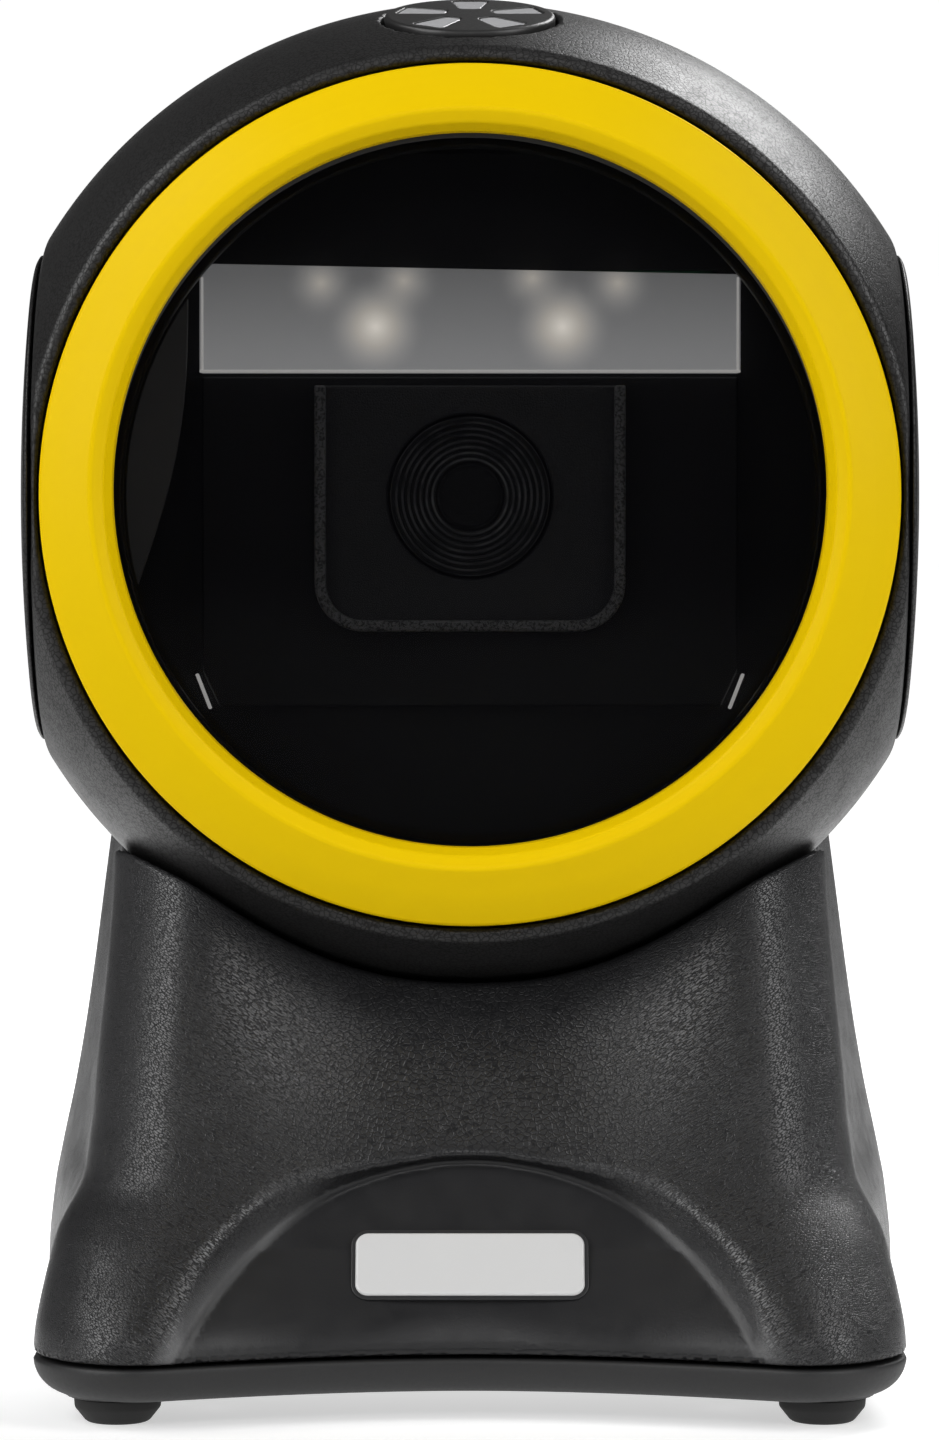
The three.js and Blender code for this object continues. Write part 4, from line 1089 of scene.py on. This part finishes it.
def base_outline(x, y, z):
    """How far a point is outside the base's section at its height. The arch isn't cut yet."""
    f, r, y_pillar, _, y_rear, y_back = section(z)
    ax = np.abs(x)
    front = base_front(ax, z) - y
    t = smoothstep(y, y_pillar + 12, y_rear - 14)
    side = ax - (f + (r - f) * t - 3.6 * t * (1 - t))
    back = y - (y_back + (y_rear - y_back) * smoothstep(ax / r, 0.2, 0.75))
    shape = round_cut(front, side, 13 - 1.5 * smoothstep(z, *TOE_Z))
    return round_cut(shape, back, 9)


def arch_recess(x, y, z):
    """The smooth recess in the front. It runs out at the arch's feet, and its legs are bevelled."""
    ax = np.abs(x)
    middle = section(z)[3]
    outer = base_front(ax, z)
    panel = np.maximum(face_plane(z), smooth_curve(PANEL_Z, PANEL_Y, z))
    flat = np.clip((z - SEAM_Z) / 10, 0, 1) * (0.95 - 0.5 * smoothstep(ax, 14, 27))
    deep = np.maximum(panel - middle, 0) + flat * (middle - outer)
    depth = outer + deep - y
    bevel = 0.35 + 0.65 * smoothstep(ax, 5, 22)
    wall = np.hypot(x, z - ARCH_Z) - ARCH_R - bevel * np.clip(depth, -1, 4)
    return round_cut(wall / np.sqrt(1 + bevel * bevel), -0.8 * depth, 0.55)


def rounded_rectangle(u, v, half_u, half_v, corner):
    du = np.abs(u) - half_u + corner
    dv = np.abs(v) - half_v + corner
    outside = np.hypot(np.maximum(du, 0), np.maximum(dv, 0))
    return outside + np.minimum(np.maximum(du, dv), 0) - corner


def base_shell(x, y, z):
    """The base without its bottom plate, hollow inside, with the cup for the head on top."""
    outline = base_outline(x, y, z)
    ball = np.sqrt(x * x + y * y + (z - HEAD_Z) ** 2) - CUP_R
    f = round_cut(outline, z - RIM_Z, 1.3)
    f = carve(f, ball, 0.9)
    f = carve(f, arch_recess(x, y, z), 0.6)
    f = round_cut(f, SEAM_Z - z, 0.55)
    face = (y - face_plane(z)) * 0.83
    hollow = np.maximum(outline + WALL, z - RIM_Z + WALL)
    hollow = np.maximum(np.maximum(hollow, WALL - ball), WALL - face)
    f = np.maximum(f, -hollow)
    port = np.maximum(rounded_rectangle(x, z - PORT_Z, *PORT_HALF, 0.4), PORT_Y - y)
    f = carve(f, port, 0.4)
    middle, half = BASE_ARM_DEPTH
    across = y * math.cos(BASE_ARM_LEAN) - (HEAD_Z - z) * math.sin(BASE_ARM_LEAN)
    arm = np.maximum(np.abs(x) - BASE_ARM_X, np.abs(across - middle) - half)
    return carve(f, np.maximum(arm, z - HEAD_Z), 0.4)


def base_plate(x, y, z):
    """The bottom plate: a shallow tray with pads for the feet and bosses for the screws."""
    top_z, floor_z = SEAM_Z - SEAM_GAP, 5.1
    outline = base_outline(x, y, np.full_like(z, SEAM_Z))
    f = round_cut(outline, PLATE_Z - z, 3.6)
    f = round_cut(f, z - top_z, 0.45)
    foot_x, foot_y, _ = np.abs(node_middle("rubber_foot_1"))
    foot = np.hypot(np.abs(x) - foot_x, np.abs(y) - foot_y)
    pad = np.maximum(foot - 4.9, np.maximum(PLATE_Z - z, z - 5))
    f = join(f, np.maximum(pad, outline), 0.6)
    f = np.maximum(f, -np.maximum(outline + 2.6, floor_z - z))
    for i in range(1, 5):
        screw_x, screw_y, _ = node_middle(f"base_screw_{i}")
        screw = np.hypot(x - screw_x, y - screw_y)
        boss = np.maximum(np.maximum(screw - BASE_BOSS_R, PLATE_Z - z), z - top_z)
        f = np.minimum(f, boss)
        f = carve(f, np.maximum(screw - BASE_SEAT_R, z - PLATE_Z - BASE_SEAT_DEPTH), 0.3)
        f = np.maximum(f, BASE_HOLE_R - screw)
    return f


def make_base():
    for name, f, step, material, node in (
        ("base_body", base_shell, grid_step(0.5), M["base"], "base_shell"),
        ("bottom_plate", base_plate, grid_step(0.4), M["base_smooth"], "base_plate"),
    ):
        add_moulded(name, f, 0.5, step, "base", "base", material, node)
    profile = rounded_profile(
        [(0, 0, 0), (3.1, 0, 0.9), (4.3, 1.5, 0.6), (4.4, 2.5, 0.1), (0, 2.5, 0)], 5
    )
    for i in range(1, 5):
        centre = node_middle(f"rubber_foot_{i}") * (1, 1, 0)
        foot = turned(f"foot_{i}", profile, "Z", 64, centre)
        add_piece(foot, "base", "rubber", M["rubber"], f"rubber_foot_{i}")
    make_name_plate()


def make_name_plate():
    """A blank glossy plate in a thin dark surround, a little proud of the face."""
    turn = Matrix.Rotation(-math.atan(FACE_SLOPE), 4, "X")
    place = Matrix.Translation((0, face_plane(NAME_PLATE_Z) * MM, NAME_PLATE_Z * MM)) @ turn
    for name, grow, corner, depth, edge in (
        ("name_plate_blank", 0, 1.3, (-0.75, 0.6), 0.3),
        ("name_plate_edge", NAME_PLATE_EDGE, 1.7, (-0.5, 0.5), 0.08),
    ):
        x, z = NAME_PLATE_HALF[0] + grow, NAME_PLATE_HALF[1] + grow
        plate = slab(name, box_outline(-x, x, -z, z, corner, 8), depth, edge)
        plate.data.transform(place)
        if grow:
            add_piece(plate, "base", "base", M["barrel"])
        else:
            add_piece(plate, "base", "silver_plate", M["plate_metal"], "name_plate")


# ---------------- pieces kept from the design
SCREWS = tuple(name for name in frame["nodes"] if "screw" in name)
STEEL_PARTS = (
    "tilt_arm", "hinge_bracket", "pivot_pin", "lock_nut", "processor_can", "tact_switch",
)
# Slot, material and CAD nodes.
INNER_PIECES = (
    ("steel", "steel", SCREWS + STEEL_PARTS),
    ("circuit_board", "board", (
        "socket_board", "sensor_board", "led_board", "main_board", "switch_board",
    )),
    ("inner_black", "inner", (
        "camera_housing", "optics_carrier", "buzzer", "image_sensor", "interface_socket",
    )),
    ("rubber", "rubber", ("friction_washer_left", "friction_washer_right")),
    ("ballast", "ballast", ("ballast_plate",)),
)


def finish_inner_pieces():
    """Broken edges and real finishes for the pieces whose designed shape is kept."""
    for slot, material, names in INNER_PIECES:
        for name in names:
            piece = frame["nodes"][name]
            paint(piece, M[material])
            edge = piece.modifiers.new("edge", "BEVEL")
            edge.width = 0.08 * MM
            edge.segments = 2
            edge.limit_method = "ANGLE"
            edge.angle_limit = math.radians(42)


# y and z of the wire bundle's centre line, which lies in the plane x = 0.
HARNESS_ROUTE = (
    (30.6, 17.2), (28.6, 18.0), (26.4, 21.0), (22.8, 30.6), (18.2, 44.6), (13.6, 58.8),
    (9.6, 71.0), (9.9, 76.6), (14.5, 81.6), (18.9, 84.4), (20.2, 87.9),
)
HARNESS_RADIUS = 1.4


def make_harness():
    """The wire bundle from the base up into the head."""
    route = np.array(HARNESS_ROUTE)
    steps = np.linalg.norm(np.diff(route, axis=0), axis=1)
    length = np.concatenate([[0.0], np.cumsum(steps)])
    rings, sides = 120, 14
    along = np.linspace(0, length[-1], rings)
    y = smooth_curve(length, route[:, 0], along)
    z = smooth_curve(length, route[:, 1], along)
    dy, dz = np.gradient(y), np.gradient(z)
    scale = HARNESS_RADIUS / np.hypot(dy, dz)
    angle = np.arange(sides) * 2 * math.pi / sides
    across = np.broadcast_to(HARNESS_RADIUS * np.cos(angle), (rings, sides))
    out_y = y[:, None] - (dz * scale)[:, None] * np.sin(angle)
    out_z = z[:, None] + (dy * scale)[:, None] * np.sin(angle)
    points = np.stack([across, out_y, out_z], 2).reshape(-1, 3)
    number = np.arange(rings * sides).reshape(rings, sides)
    beside = np.roll(number, -1, axis=1)
    walls = np.stack([number[:-1], beside[:-1], beside[1:], number[1:]], 2).reshape(-1, 4)
    caps = [number[0].tolist(), number[-1].tolist()]
    harness = mesh_object("wire_harness", points, walls.tolist() + caps)
    weld(harness)
    paint(harness, M["rubber"])
    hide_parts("harness")
    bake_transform(harness)


# ---------------- the floor and the light
def make_stage():
    """A pale floor that turns white behind the scanner, in a studio that is dim in front of it."""
    bpy.ops.mesh.primitive_plane_add(size=40, location=(0, 0, 0))
    floor = bpy.context.object
    floor.name = "floor"
    mat, tree, shader = new_material("floor_paper", (0.62, 0.62, 0.62), 0.85)
    axes = split_axes(tree, add_node(tree, "ShaderNodeTexCoord", {}).outputs["Object"])
    behind = remap(tree, axes["Y"], 0.0, 1.0, -0.12, 0.04)
    from_camera = calculate(tree, "ADD", axes["Y"], 0.75)
    aside = calculate(tree, "ABSOLUTE", calculate(tree, "DIVIDE", axes["X"], from_camera))
    middle = remap(tree, aside, 1.0, 0.12, 0.088, 0.18)
    feed(tree, shader, {
        "Emission Color": (1, 1, 1, 1),
        "Emission Strength": product(tree, behind, middle),
    })
    paint(floor, mat)
    make_world()


def make_world():
    """A dim room with a bright low band behind the scanner."""
    world = bpy.data.worlds.new("studio")
    bpy.context.scene.world = world
    world.use_nodes = True
    tree = world.node_tree
    axes = split_axes(tree, add_node(tree, "ShaderNodeTexCoord", {}).outputs["Generated"])
    behind = remap(tree, axes["Y"], 0, 1, 0.955, 0.99)
    low = remap(tree, axes["Z"], 1, 0, 0.13, 0.5)
    glow = remap(tree, product(tree, behind, low), 0.07, 1.02)
    feed(tree, tree.nodes["Background"], {"Strength": glow, "Color": (1, 1, 1, 1)})


LIGHT_AIM = Vector((0, 0, 0.08))


def add_light(name, place, size, power):
    """A soft rectangular light, aimed at the middle of the scanner."""
    data = bpy.data.lights.new(name, "AREA")
    data.shape = "RECTANGLE"
    data.size, data.size_y = size
    data.energy = power
    lamp = add_object(name, data)
    lamp.location = place
    lamp.rotation_euler = (LIGHT_AIM - Vector(place)).to_track_quat("-Z", "Y").to_euler()


def make_lights():
    add_light("side_right", (0.72, -0.48, 0.52), (0.42, 0.95), 6.3)
    add_light("side_left", (-0.72, -0.48, 0.5), (0.42, 0.95), 7.1)
    add_light("high_left", (-0.66, -0.04, 0.66), (0.2, 0.3), 1.2)
    add_light("overhead", (0.0, -0.25, 0.95), (0.5, 0.35), 0.3)
    add_light("high_right", (0.42, 0.58, 0.7), (0.45, 0.35), 5.5)
    add_light("front_fill", (0.0, -0.82, 0.46), (0.5, 0.12), 1.2)


bpy.context.scene.view_settings.view_transform = "Standard"
make_housings()
make_ring()
make_window()
make_optics()
make_engine()
make_button()
make_base()
finish_inner_pieces()
make_harness()
make_stage()
make_lights()
